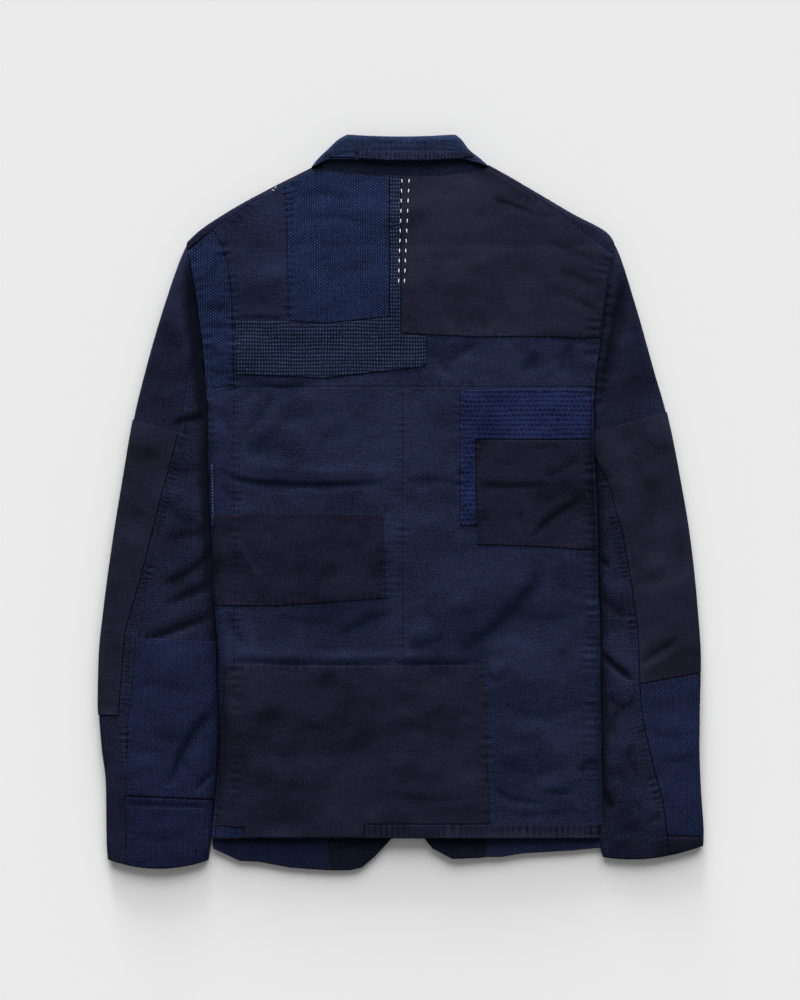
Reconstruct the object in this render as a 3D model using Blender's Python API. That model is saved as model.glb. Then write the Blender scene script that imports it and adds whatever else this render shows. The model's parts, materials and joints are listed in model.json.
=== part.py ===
"""A patched boro jacket, lying face down on a flat surface with its back up.

The frame is in metres with +Z up.  The origin is on the surface, under the middle of the
jacket.  +Y runs from the hem to the collar, and +X to the wearer's right sleeve.  The
tables below are in millimetres.

The body, each sleeve and the collar are flattened tubes of cloth.  A tube is a table of rows,
and each row is a flat ring that runs from a left edge to a right edge, over the top and back
along the ground.  Every panel and every patch is cut out of such a tube along its own outline,
as a maker cuts cloth, and given its thickness.
"""
import math
from collections import namedtuple

import bmesh
import bpy
from mathutils import Vector

# ---------------------------------------------------------------- driving sizes, millimetres
MM = 0.001                # one millimetre in the scene's metres
CLOTH = 1.5               # thickness of a panel of quilted cotton
PATCH = 1.0               # thickness of a patch sewn on a panel
COLLAR_LEAF = 2.5         # thickness of the collar's leaf, which is cloth on cloth
LAPEL = 3.0               # thickness of a lapel, which is cloth on cloth
GAP = 0.3                 # clearance between pieces that meet
CENTRE_FRONT = 7.0        # where the two fronts close, beside the middle of the back
OVERLAP = 17.0            # how far each front reaches past the centre front
UNDERLAY = 3.6            # how far the fronts are lifted by the lapels and buttons under them
HEM = -352.0              # lower edge of the back
YOKE = 121.0              # seam between the yoke and the lower back
CENTRE_BACK = 2.0         # seam between the two lower back panels
SIDE_FRONT = 50.0         # distance of the left side panel's front seam from the side fold
SIDE_BACK = 9.0           # distance of the right side seam from the side fold, on the back
BUTTON_RADIUS = 10.0
BUTTON_THICKNESS = 2.8
BUTTON_RIM = 0.7
BUTTON_HEIGHTS = (112.0, 24.0, -64.0)

ABOVE, BELOW = 1, -1      # the side of a tube that an outline is drawn on
FOLD_STEPS = (0.0, 0.293, 1.0)   # a quarter turn in two steps, as parts of its reach

# ---------------------------------------------------------------- the tubes' rows
# height: place along Y.  left, right: the edges.  radius: half the height of the folded edge.
# reach: how far in from the edge the fold is round.  crown: extra height in the middle.
# opened: 1 where the edge is open to an armhole, and 0 where it is a fold.
BodyRow = namedtuple("BodyRow", "height left right radius reach crown opened")
BODY_ROWS = (
    BodyRow(355, -86, 90, 7.5, 14, 0, 0),
    BodyRow(344, -108, 110, 7.5, 14, 1, 0),
    BodyRow(330, -136, 134, 7.5, 14, 2, 0),
    BodyRow(304, -183, 178, 7.5, 12, 5, 0),
    BodyRow(280, -217, 215, 7.5, 10, 6, 0),
    BodyRow(270, -225, 224, 7.5, 9, 6, 0),
    BodyRow(261, -223, 223, 8.0, 8, 6, 1),
    BodyRow(225, -216, 216, 8.5, 8, 7, 1),
    BodyRow(166, -208, 208, 8.5, 8, 7, 1),
    BodyRow(106, -203, 202, 8.5, 8, 8, 1),
    BodyRow(95, -202, 202, 8.5, 8, 8, 0),
    BodyRow(54, -202, 202, 8.5, 9, 8, 0),
    BodyRow(38, -202, 203, 8.5, 9, 8, 0),
    BodyRow(24, -201, 204, 8.5, 9, 8, 0),
    BodyRow(8, -201, 205, 8.5, 9, 8, 0),
    BodyRow(-36, -198, 206, 8.5, 9, 8, 0),
    BodyRow(-95, -196, 207, 8.5, 9, 7, 0),
    BodyRow(-148, -192, 209, 8.0, 9, 7, 0),
    BodyRow(-167, -191, 209, 8.0, 9, 6, 0),
    BodyRow(-184, -191, 209, 8.0, 9, 6, 0),
    BodyRow(-245, -189, 210, 7.5, 8, 5, 0),
    BodyRow(-300, -193, 211, 7.0, 8, 4, 0),
    BodyRow(-353, -198, 211, 6.0, 8, 3, 0),
    BodyRow(-388, -198, 211, 6.0, 8, 3, 0),
)
UNDERARM = 10             # the first row below the armholes

# A sleeve's rows run from its outer edge to the edge beside the body.  bow: how far the middle
# of the row bends towards the body.  The armhole's row comes first and the cuff's last.
SleeveRow = namedtuple("SleeveRow", "outer_x outer_y inner_x inner_y radius reach crown bow")
LEFT_SLEEVE_ROWS = (
    SleeveRow(-226, 267, -203, 96, 7.5, 16, 2, 3.2),
    SleeveRow(-246, 213, -203, 86, 7.5, 14, 3, 2.0),
    SleeveRow(-269, 134, -203, 72, 7.5, 10, 4, 0.5),
    SleeveRow(-281, 88, -203, 60, 7.5, 9, 4, 0),
    SleeveRow(-292, 30, -203, 18, 7.5, 8, 4, 0),
    SleeveRow(-303, -38, -200, -43, 7.5, 8, 4, 0),
    SleeveRow(-313, -112, -196, -112, 7.0, 8, 4, 0),
    SleeveRow(-318, -162, -194, -164, 7.0, 8, 4, 0),
    SleeveRow(-319, -210, -192, -214, 7.0, 8, 4, 0),
    SleeveRow(-316, -252, -191.5, -258, 7.0, 8, 3, 0),
    SleeveRow(-310, -296, -193.5, -300, 6.5, 7, 3, 0),
    SleeveRow(-309, -377, -201, -375, 6.0, 7, 1, 0),
)
RIGHT_SLEEVE_ROWS = (
    SleeveRow(226, 267, 203, 96, 7.5, 16, 2, 3.2),
    SleeveRow(245, 210, 203, 86, 7.5, 14, 3, 2.0),
    SleeveRow(266, 136, 203, 73, 7.5, 10, 4, 0.5),
    SleeveRow(278, 94, 203, 63, 7.5, 9, 4, 0),
    SleeveRow(292, 30, 205, 20, 7.5, 8, 4, 0),
    SleeveRow(304, -39, 207.5, -41, 7.5, 8, 4, 0),
    SleeveRow(312, -110, 209, -110, 7.0, 8, 4, 0),
    SleeveRow(316, -166, 210, -164, 7.0, 8, 4, 0),
    SleeveRow(314, -210, 211, -206, 7.0, 8, 4, 0),
    SleeveRow(313, -256, 211.5, -252, 7.0, 8, 3, 0),
    SleeveRow(314, -300, 212, -298, 6.5, 7, 3, 0),
    SleeveRow(318, -362, 211, -378, 6.0, 7, 1, 0),
)

# The collar's stand and the leaf that falls over it.  base: height of the ring's underside.
CollarRow = namedtuple("CollarRow", "height left right radius reach crown base")
STAND_ROWS = (
    CollarRow(381, -58, 57, 5.6, 6, 0, 3.6),
    CollarRow(374, -67, 63.5, 5.8, 7, 0, 3.6),
    CollarRow(358, -83, 80, 6.0, 9, 0, 3.6),
    CollarRow(340, -96, 95, 6.0, 9, 0, 3.6),
)
LEAF_ROWS = (
    CollarRow(385.5, -58, 60, 7.8, 6, 0, 0),
    CollarRow(381, -66, 65, 9.2, 6, 0, 0),
    CollarRow(370, -77, 73, 9.6, 6, 0, 0),
    CollarRow(358, -88, 86, 9.8, 6, 0, 0),
    CollarRow(350, -94, 93, 9.8, 6, 0, 0),
    CollarRow(316, -94, 93, 9.8, 6, 0, 0),
    CollarRow(282, -94, 93, 9.8, 6, 0, 0),
)

# ---------------------------------------------------------------- the largest folds in the cloth
# A soft trough from one end to the other, in the upper side of a tube.
Fold = namedtuple("Fold", "start_x start_y end_x end_y depth width")
BODY_FOLDS = (
    Fold(-180, 30, 62, 20, 2.6, 13),
    Fold(-182, -167, 80, -168, 2.0, 13),
    Fold(134, -90, 62, -160, 2.2, 18),
    Fold(-160, 126, -82, 121, 1.2, 14),
    Fold(95, -305, 190, -280, 1.8, 18),
    Fold(135, -40, 190, 6, 1.2, 14),
)
LEFT_SLEEVE_FOLDS = (
    Fold(-196, -224, -242, -292, 2.6, 14),
    Fold(-260, -128, -196, -114, 2.0, 14),
    Fold(-238, 80, -204, 88, 1.6, 14),
)
RIGHT_SLEEVE_FOLDS = (
    Fold(210, -156, 240, -178, 2.4, 14),
    Fold(208, -310, 224, -326, 2.0, 14),
    Fold(232, 78, 276, 94, 1.4, 14),
)

# ---------------------------------------------------------------- cloths
Cloth = namedtuple("Cloth", "colour roughness")
CLOTHS = {
    "denim": Cloth((0.0135, 0.0185, 0.0425), 0.86),
    "navy": Cloth((0.0105, 0.0140, 0.0300), 0.88),
    "brown_black": Cloth((0.0145, 0.0130, 0.0260), 0.88),
    "sashiko_blue": Cloth((0.0130, 0.0200, 0.0580), 0.88),
    "dotted": Cloth((0.0120, 0.0180, 0.0360), 0.88),
    "row_stitched_blue": Cloth((0.0120, 0.0180, 0.0560), 0.86),
    "collar_blue": Cloth((0.0180, 0.0280, 0.0600), 0.86),
    "button_dark": Cloth((0.0150, 0.0130, 0.0120), 0.40),
}


# ---------------------------------------------------------------- shapes of a tube
def rounded(share):
    """Height of a quarter circle, from 0 at its foot to 1 where it levels out."""
    share = min(max(share, 0.0), 1.0)
    return math.sqrt(1.0 - (1.0 - share) ** 2)


def eased(share):
    """A smooth step from 0 to 1."""
    share = min(max(share, 0.0), 1.0)
    return share * share * (3.0 - 2.0 * share)


def trough(folds, x, y):
    """How far the folds sink the cloth at a place."""
    depth = 0.0
    for fold in folds:
        along_x = fold.end_x - fold.start_x
        along_y = fold.end_y - fold.start_y
        length = along_x ** 2 + along_y ** 2
        share = ((x - fold.start_x) * along_x + (y - fold.start_y) * along_y) / length
        held = min(max(share, 0.0), 1.0)
        off_x = x - fold.start_x - held * along_x
        off_y = y - fold.start_y - held * along_y
        near = math.exp(-(off_x ** 2 + off_y ** 2) / fold.width ** 2)
        depth += fold.depth * near
    return depth


def centre_lift(x, y):
    """How far the lapels, the collar's points and the buttons lift the fronts."""
    half = 60.0 + 80.0 * eased((y - 130.0) / 60.0)
    beside = 1.0 - eased((abs(x - CENTRE_FRONT) - half) / 34.0)
    above_last_button = eased((y + 128.0) / 40.0)
    return UNDERLAY * beside * above_last_button


def right_front_lift(x, y):
    """The right front lies on the inner face of the left one, where they overlap."""
    tucked = 1.0 - eased((x - CENTRE_FRONT - 2.2 * OVERLAP) / 40.0)
    return centre_lift(x, y) + (CLOTH + GAP) * tucked


def no_lift(x, y):
    return 0.0


class Tube:
    """A flattened tube of cloth: rings between a left and a right edge, on the ground."""

    def __init__(self, rows, folds, lift, middles_top, middles_under):
        self.rows = rows
        self.folds = folds
        self.lift = lift
        self.middles = {ABOVE: middles_top, BELOW: middles_under}

    def distances(self, row, side):
        """The columns of one side of a row, measured from its left edge."""
        width = (row["right"] - row["left"]).length
        steps = [row["reach"] * step for step in FOLD_STEPS]
        count = self.middles[side]
        inner = width - 2.0 * row["reach"]
        spread = [row["reach"] + inner * (n + 1) / (count + 1) for n in range(count)]
        return steps + spread + [width - step for step in reversed(steps)]

    def columns(self, row, side, past_left, past_right):
        """The columns of one side, with some of the other side's beyond each fold."""
        near = self.distances(row, side)
        far = self.distances(row, -side)
        width = near[-1]
        left = [-distance for distance in far[1:past_left + 1]]
        right = [width + distance for distance in far[1:past_right + 1]]
        return left[::-1] + near + right

    def on_ground(self, row, across):
        """The place in plan at a distance across a row."""
        way = row["right"] - row["left"]
        width = way.length
        way = way / width
        share = min(max(across / width, 0.0), 1.0)
        bend = 4.0 * row["bow"] * share * (1.0 - share)
        return row["left"] + way * across + Vector((bend, 0.0))

    def height(self, row, across, upper, place):
        """The height of the cloth's outer face."""
        width = (row["right"] - row["left"]).length
        edge = min(across, width - across)
        radius = row["radius"]
        turn = rounded(edge / row["reach"])
        if not upper:
            start = radius * (1.0 - row["opened"])
            return row["base"] + start * (1.0 - turn) + self.lift(place.x, place.y) * turn
        start = radius * (1.0 + row["opened"])
        level = (edge - row["reach"]) / (0.5 * width - row["reach"])
        level = min(max(level, 0.0), 1.0)
        arch = row["crown"] * (1.0 - (1.0 - level) ** 2)
        top = start + (2.0 * radius - start) * turn + arch
        return row["base"] + top - trough(self.folds, place.x, place.y) * turn

    def run(self, share, folds=0.0, beside=0.0):
        """A line down the tube: a share of each row's width, some folds and a distance."""
        line = []
        for row in self.rows:
            width = (row["right"] - row["left"]).length
            across = share * width + folds * row["reach"] + beside
            line.append(tuple(self.on_ground(row, across)))
        return tuple(line)

    def point(self, row, distance, side):
        """The cloth's outer face at a distance round the ring from its left edge."""
        width = (row["right"] - row["left"]).length
        around = distance % (2.0 * width)
        beyond = around > width
        across = 2.0 * width - around if beyond else around
        place = self.on_ground(row, across)
        upper = (side == ABOVE) != beyond
        return Vector((place.x, place.y, self.height(row, across, upper, place)))

    def slope(self, row, distance, side):
        """The way the cloth runs round the ring at a place."""
        width = (row["right"] - row["left"]).length
        step = 0.02 * row["reach"]
        before, after = distance - step, distance + step
        at_edge = min(abs(distance), abs(distance - width)) < step
        if at_edge and row["opened"] > 0.5:
            before = max(before, 0.0)
            after = min(after, width)
        return self.point(row, after, side) - self.point(row, before, side)

    def cloth(self, side, past_left=0, past_right=0):
        """A sheet of cloth laid out flat that knows where each of its points goes."""
        points = []
        slopes = []
        flats = []
        for row in self.rows:
            stops = self.columns(row, side, past_left, past_right)
            points.append([self.point(row, stop, side) for stop in stops])
            slopes.append([self.slope(row, stop, side) for stop in stops])
            flats.append([self.on_ground(row, stop) for stop in stops])
        sheet = bmesh.new()
        placed = sheet.verts.layers.float_vector.new("placed")
        facing = sheet.verts.layers.float_vector.new("facing")
        grid = []
        for i, line in enumerate(points):
            made = []
            for j, point in enumerate(line):
                along = points[min(i + 1, len(points) - 1)][j] - points[max(i - 1, 0)][j]
                across = slopes[i][j]
                flat = flats[i][j]
                vert = sheet.verts.new((flat.x * MM, flat.y * MM, 0.0))
                vert[placed] = point * MM
                vert[facing] = along.cross(across).normalized() * side
                made.append(vert)
            grid.append(made)
        for upper, lower in zip(grid, grid[1:]):
            for j in range(len(upper) - 1):
                sheet.faces.new((upper[j], lower[j], lower[j + 1], upper[j + 1]))
        bmesh.ops.triangulate(sheet, faces=sheet.faces[:])
        return sheet


def ring_row(left, right, row, opened=0.0, bow=0.0, base=0.0):
    """One row of a tube, from the columns that every table shares."""
    return {"left": Vector(left), "right": Vector(right), "radius": row.radius,
            "reach": row.reach, "crown": row.crown, "opened": opened, "bow": bow,
            "base": base}


def body_tube(lift):
    rows = [ring_row((r.left, r.height), (r.right, r.height), r, opened=r.opened)
            for r in BODY_ROWS]
    return Tube(rows, BODY_FOLDS, lift, 6, 4)


def left_sleeve_tube():
    rows = [ring_row((r.outer_x, r.outer_y), (r.inner_x, r.inner_y), r, bow=r.bow)
            for r in LEFT_SLEEVE_ROWS]
    return Tube(rows, LEFT_SLEEVE_FOLDS, no_lift, 3, 1)


def right_sleeve_tube():
    rows = [ring_row((r.inner_x, r.inner_y), (r.outer_x, r.outer_y), r, bow=-r.bow)
            for r in RIGHT_SLEEVE_ROWS]
    return Tube(rows, RIGHT_SLEEVE_FOLDS, no_lift, 3, 1)


def collar_tube(table):
    rows = [ring_row((r.left, r.height), (r.right, r.height), r, base=r.base) for r in table]
    return Tube(rows, (), no_lift, 3, 3)


# ---------------------------------------------------------------- cutting and thickness
def area_of(outline):
    """Twice the area of an outline, positive where it runs anticlockwise."""
    following = outline[1:] + outline[:1]
    return sum(a.x * b.y - b.x * a.y for a, b in zip(outline, following))


def drawn_in(outline, amount):
    """An outline moved inwards all round, which leaves the seam's gap beside it."""
    points = [Vector(corner) * MM for corner in outline]
    if area_of(points) < 0.0:
        points.reverse()
    moved = []
    for before, here, after in zip(points[-1:] + points[:-1], points, points[1:] + points[:1]):
        first = (here - before).normalized()
        second = (after - here).normalized()
        first_side = Vector((-first.y, first.x))
        second_side = Vector((-second.y, second.x))
        middle = first_side + second_side
        moved.append(here + middle * (2.0 * amount * MM / middle.dot(middle)))
    return moved


def holds(outline, place):
    """True where a place is inside an outline."""
    inside = False
    for a, b in zip(outline, outline[1:] + outline[:1]):
        if (a.y > place.y) != (b.y > place.y):
            if place.x < a.x + (place.y - a.y) * (b.x - a.x) / (b.y - a.y):
                inside = not inside
    return inside


def between(a, b, share):
    """A place on the way from one corner of an outline to the next."""
    return tuple(Vector(a).lerp(Vector(b), share))


def crossed(face, a, b):
    """True where a cut from a to b may pass through a face."""
    way = (b - a).normalized()
    side = Vector((-way.y, way.x))
    off = [(vert.co.xy - a).dot(side) for vert in face.verts]
    along = [(vert.co.xy - a).dot(way) for vert in face.verts]
    slack = 0.02 * MM
    passes = min(off) < slack and max(off) > -slack
    return passes and max(along) > -slack and min(along) < (b - a).length + slack


def cut_out(sheet, outline):
    """Cut a piece out of a sheet along an outline, and drop the rest."""
    for a, b in zip(outline, outline[1:] + outline[:1]):
        faces = [face for face in sheet.faces if crossed(face, a, b)]
        edges = list({edge for face in faces for edge in face.edges})
        verts = list({vert for face in faces for vert in face.verts})
        way = (b - a).normalized()
        bmesh.ops.bisect_plane(sheet, geom=verts + edges + faces, dist=0.01 * MM,
                               plane_co=(a.x, a.y, 0.0), plane_no=(-way.y, way.x, 0.0))
    scraps = [face for face in sheet.faces if not holds(outline, face.calc_center_median())]
    bmesh.ops.delete(sheet, geom=scraps, context="FACES")
    bmesh.ops.triangulate(sheet, faces=sheet.faces[:])


def make_thick(sheet, low, high):
    """Lift a flat piece to its place and give it thickness, from low to high along its face."""
    bottom = sheet.faces[:]
    bottom_verts = sheet.verts[:]
    made = bmesh.ops.extrude_face_region(sheet, geom=bottom, use_keep_orig=True)
    top_verts = [item for item in made["geom"] if isinstance(item, bmesh.types.BMVert)]
    placed = sheet.verts.layers.float_vector["placed"]
    facing = sheet.verts.layers.float_vector["facing"]
    for verts, height in ((bottom_verts, low), (top_verts, high)):
        for vert in verts:
            vert.co = Vector(vert[placed]) + Vector(vert[facing]) * height * MM
    bmesh.ops.triangulate(sheet, faces=sheet.faces[:])
    bmesh.ops.recalc_face_normals(sheet, faces=sheet.faces[:])


def cloth_material(name):
    """A plain material for one kind of cloth, made once and shared."""
    found = bpy.data.materials.get(name)
    if found:
        return found
    cloth = CLOTHS[name]
    material = bpy.data.materials.new(name)
    material.use_nodes = True
    shader = material.node_tree.nodes["Principled BSDF"]
    shader.inputs["Base Color"].default_value = (*cloth.colour, 1.0)
    shader.inputs["Roughness"].default_value = cloth.roughness
    shader.inputs["Metallic"].default_value = 0.0
    return material


def add_object(name, sheet, material, collection):
    mesh = bpy.data.meshes.new(name)
    sheet.to_mesh(mesh)
    sheet.free()
    made = bpy.data.objects.new(name, mesh)
    made.data.materials.append(cloth_material(material))
    collection.objects.link(made)
    return made


# ---------------------------------------------------------------- outlines, millimetres
# Drawn from above.  Past a fold, an outline goes on flat, as the cloth would lie unfolded.
# An outline that runs past the end of a tube keeps the tube's own end.
NECK_SEAM = ((91, 351.5), (70, 346), (41, 342), (8, 342), (-25, 343), (-56, 345), (-91, 350.5))
LEFT_SHOULDER_SEAM = ((-91, 350.5), (-108, 342.5), (-136, 328.5), (-148, 319), (-182, 296),
                      (-197, 286))
RIGHT_SHOULDER_SEAM = ((220, 262), (193, 282), (170, 301), (126, 330), (91, 351.5))
LEFT_SIDE_SEAM = ((-197, 286), (-186, 267), (-179, 236), (-176, 190), (-175, YOKE))
LEFT_ARMHOLE = ((-202, 94), (-203, 106), (-208, 166), (-216, 225), (-223, 261),
                (-224.5, 262.5))
RIGHT_ARMHOLE = ((202, 94), (202, 106), (208, 166), (216, 225), (223, 261), (220, 262))
SIDE_PANEL_TOP = 113.0    # seam between the two cloths of the left side panel
FRONT_SEAM_LEFT = -75.0   # seams down the fronts, between their two lengths of cloth
FRONT_SEAM_RIGHT = 90.0
FORWARD = 30.0            # how far a shoulder's cloth goes on beyond the fold
WRAP = 1.8                # how far a sleeve's patch goes on beyond the outer fold
TURN = 1.4                # how far a sleeve's outer piece goes on under it, in folds


def build_back(tube, add_panel):
    """The yoke, the two lower back panels and the left side panel."""
    yoke = NECK_SEAM + LEFT_SHOULDER_SEAM[1:] + LEFT_SIDE_SEAM[1:]
    yoke += ((203.2, YOKE),) + RIGHT_ARMHOLE[2:-1] + RIGHT_SHOULDER_SEAM[:-1]
    add_panel("back_yoke", tube, ABOVE, (0, 0), yoke, "denim")
    left = ((-175, YOKE), (-175, HEM), (CENTRE_BACK, HEM), (CENTRE_BACK, YOKE))
    add_panel("back_left", tube, ABOVE, (0, 0), left, "denim")
    right = ((CENTRE_BACK, YOKE), (CENTRE_BACK, HEM))
    right += tuple((r.right - SIDE_BACK, r.height) for r in BODY_ROWS[-2:UNDERARM - 1:-1])
    right += RIGHT_ARMHOLE[:2] + ((203.2, YOKE),)
    add_panel("back_right", tube, ABOVE, (0, 0), right, "denim")

    upper = LEFT_SIDE_SEAM[:-1] + ((-175, SIDE_PANEL_TOP), (-203.5, SIDE_PANEL_TOP))
    upper += LEFT_ARMHOLE[2:]
    add_panel("side_left_upper", tube, ABOVE, (0, 0), upper, "sashiko_blue")
    lower = ((-203.5, SIDE_PANEL_TOP), (-175, SIDE_PANEL_TOP), (-175, HEM))
    lower += tuple((r.left - SIDE_FRONT, r.height) for r in BODY_ROWS[-2:UNDERARM:-1])
    lower += ((-202 - SIDE_FRONT, 93), (-202, 93), (-203, 106))
    add_panel("side_left", tube, ABOVE, (3, 0), lower, "denim")


def build_shoulders(tube, add_panel):
    """The strips of the fronts that come over the shoulders to the seams on the back."""
    folds = BODY_ROWS[1:6]
    left = LEFT_SHOULDER_SEAM + ((-225, 264),)
    left += tuple((r.left - FORWARD, r.height) for r in reversed(folds))
    left += ((-91 - FORWARD, 352.5), (-91, 352.5))
    add_panel("shoulder_left", tube, ABOVE, (3, 0), left, "brown_black")
    right = RIGHT_SHOULDER_SEAM + ((94, 352.5), (94 + FORWARD, 352.5))
    right += tuple((r.right + FORWARD, r.height) for r in folds)
    right += ((224, 264),)
    add_panel("shoulder_right", tube, ABOVE, (0, 3), right, "sashiko_blue")


def build_fronts(left_tube, right_tube, add_panel):
    """The fronts, each of two lengths of cloth, which lie on the ground under the back."""
    folds = BODY_ROWS[1:6]
    sides = BODY_ROWS[-2:UNDERARM:-1]
    left = LEFT_ARMHOLE[:-2] + ((-222.5, 258), (-224.5, 261))
    left += tuple((r.left + FORWARD, r.height - 1) for r in reversed(folds))
    left += ((FRONT_SEAM_LEFT, 345), (FRONT_SEAM_LEFT, -386), (-91, -385), (-117, -383))
    left += ((-149, -377), (-169, -376), (-197, -363), (-198, HEM - 1))
    left += tuple((r.left + SIDE_FRONT, r.height) for r in sides)
    left += ((-202 + SIDE_FRONT, 93), (-202, 93))
    add_panel("front_left", left_tube, BELOW, (0, 0), left, "sashiko_blue")
    edge = ((FRONT_SEAM_LEFT, 345), (-69, 348), (CENTRE_FRONT + OVERLAP, 150),
            (CENTRE_FRONT + OVERLAP, -296), (9, -328), (-9, -352), (-28, -372), (-41, -383),
            (-54, -386), (FRONT_SEAM_LEFT, -386))
    add_panel("front_left_edge", left_tube, BELOW, (0, 0), edge, "dotted")

    right = RIGHT_ARMHOLE[:-2] + ((222.5, 258), (223.5, 261))
    right += tuple((r.right - FORWARD, r.height - 1) for r in reversed(folds[1:]))
    right += ((FRONT_SEAM_RIGHT, 337), (FRONT_SEAM_RIGHT, -372), (105, -372), (129, -368))
    right += ((180, -365), (211, -362), (211, HEM - 1))
    right += tuple((r.right + SIDE_BACK, r.height) for r in sides)
    right += ((202 + SIDE_BACK, 93), (202, 93))
    add_panel("front_right", right_tube, BELOW, (0, 3), right, "sashiko_blue")
    edge = ((FRONT_SEAM_RIGHT, 337), (80, 343), (70, 347.5), (CENTRE_FRONT - OVERLAP, 150),
            (CENTRE_FRONT - OVERLAP, -291), (9, -328), (24, -352), (33, -363), (54, -374),
            (83, -373), (FRONT_SEAM_RIGHT, -372))
    add_panel("front_right_edge", right_tube, BELOW, (0, 0), edge, "navy")


def build_back_patches(tube, add_patch):
    """The cloths sewn on the back, side by side as they show."""
    outlines = (
        ("patch_blue_shoulder", "sashiko_blue",
         ((-121, 332), (-117, 190), (-81, 187), (-12, 194), (-12, 341), (-25, 342), (-56, 344),
          (-88, 348), (-108, 339))),
        ("patch_dotted", "dotted",
         ((-12, 194), (-12, 341), (0, 341), (0, 177), (27, 174), (27, 143), (9, 140),
          (-81, 130), (-173, 134), (-173, 192), (-117, 190), (-81, 187))),
        ("patch_brown_shoulder", "brown_black",
         ((0, 341), (0, 177), (84, 173), (128, 174), (204, 172), (208, 200), (213, 232),
          (217, 260), (193, 281), (170, 300), (126, 329), (91, 350.5), (70, 345), (41, 341),
          (8, 341))),
        ("patch_blue_rows", "row_stitched_blue",
         ((62, 118), (62, -24), (79.6, -24), (78, 66), (198, 66), (199, 119), (131, 120))),
        ("patch_brown_right", "brown_black",
         ((78, 66), (79.6, -24), (80, -44), (145, -46), (203, -50), (201, 0), (198, 66))),
        ("patch_brown_left", "brown_black",
         ((-196, -14), (-159, -11), (-19, -12), (-16, -100), (-130, -108), (-193, -108))),
        ("patch_brown_hem", "brown_black",
         ((-183, -169), (-103, -171), (85, -170), (89, -200), (92, -337), (-38, -337),
          (-165, -340), (-193, -339), (-190, -300), (-187, -228))),
        ("hem_band_right", "brown_black",
         ((-38, -337), (92, -337), (208, -337), (208, HEM), (-38, HEM))),
        ("hem_tab_left", "sashiko_blue",
         ((-194, -339), (-165, -340), (-165, HEM), (-194, HEM))),
    )
    for name, cloth, outline in outlines:
        add_patch(name, tube, (0, 0), outline, cloth)


def build_left_sleeve(tube, add_panel, add_patch):
    """The left sleeve: an outer, an inner and a front piece, with the cloths sewn on them."""
    seam = ((-198, 205), (-222, 130), (-233, 74), (-252, 3), (-273, -80), (-289, -133),
            (-296, -223), (-288, -307), (-288, -390))
    under_outer = tube.run(0.0, -TURN)
    under_inner = tube.run(-1.0, 1.0, GAP)
    outer = seam + ((-321, -392),) + under_outer[::-1] + ((-215, 285),)
    add_panel("sleeve_left_outer", tube, ABOVE, (4, 0), outer, "navy")
    inner = seam + ((-188, -390),) + tube.run(1.0, TURN)[::-1] + ((-190, 90),)
    add_panel("sleeve_left_inner", tube, ABOVE, (0, 2), inner, "navy")
    front = under_outer + ((-321, -392), (-406, -394)) + under_inner[::-1]
    front += ((-236, 428), (-216, 280))
    add_panel("sleeve_left_front", tube, ABOVE, (6, 0), front, "navy")
    round_fold = tuple((r.outer_x - WRAP, r.outer_y) for r in LEFT_SLEEVE_ROWS[8:3:-1])
    add_patch("elbow_left", tube, (2, 0),
              ((-233, 74), (-252, 3), (-273, -80), (-289, -133), (-296, -223), (-321, -223))
              + round_fold + ((-281 - WRAP, 87), (-280, 87)), "brown_black")
    add_patch("sleeve_patch_left", tube, (0, 0),
              ((-278, -141), (-280, -178), (-286, -228), (-288, -307), (-199, -311),
               (-196, -252), (-196, -208), (-199, -145)), "sashiko_blue")
    add_patch("cuff_left", tube, (0, 0),
              ((-288, -316), (-202, -318), (-206, -374), (-288, -375)), "sashiko_blue")


def build_right_sleeve(tube, add_panel, add_patch):
    """The right sleeve, made like the left one but with its own cloths."""
    seam = ((203.6, 99), (203.6, 60), (206, 52), (218, 24), (232, -32), (242, -89),
            (248, -133), (250, -190), (253, -228), (265, -279), (274, -312), (284, -390))
    under_outer = tube.run(1.0, TURN)
    fold = tube.run(2.0)
    flat = tube.run(2.0, -1.0, -GAP)
    under_inner = fold[:4] + (between(fold[3], fold[4], 0.21), between(flat[3], flat[4], 0.21))
    under_inner += flat[4:]
    outer = seam + ((330, -392),) + under_outer[::-1] + ((215, 285), (198, 205))
    add_panel("sleeve_right_outer", tube, ABOVE, (0, 4), outer, "denim")
    inner = seam[2:] + ((199, -390),) + tube.run(0.0, -TURN)[:3:-1] + ((191, 50),)
    add_panel("sleeve_right_inner", tube, ABOVE, (2, 0), inner, "navy")
    front = under_outer + ((330, -392), (411, -394)) + under_inner[::-1]
    front += ((236, 445), (216, 280))
    add_panel("sleeve_right_front", tube, ABOVE, (0, 6), front, "navy")
    rows = RIGHT_SLEEVE_ROWS
    elbow_fold = tuple((r.outer_x + WRAP, r.outer_y) for r in rows[4:8])
    add_patch("elbow_right", tube, (0, 2),
              ((209, 76), (222, 80), (248, 86), (277, 95), (278 + WRAP, 94)) + elbow_fold
              + ((316 + WRAP, -178), (250, -190), (248, -133), (242, -89), (232, -32),
                 (218, 24), (209, 50)), "brown_black")
    lower_fold = tuple((r.outer_x + WRAP, r.outer_y) for r in rows[8:11])
    add_patch("sleeve_patch_right", tube, (0, 2),
              ((250, -190), (316 + WRAP, -178)) + lower_fold
              + ((317 + WRAP, -350), (279, -349), (274, -312), (265, -279), (253, -228)),
              "sashiko_blue")
    add_patch("cuff_right", tube, (0, 2),
              ((279, -349), (317 + WRAP, -350), (318 + WRAP, -361), (281, -368)),
              "brown_black")


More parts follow.
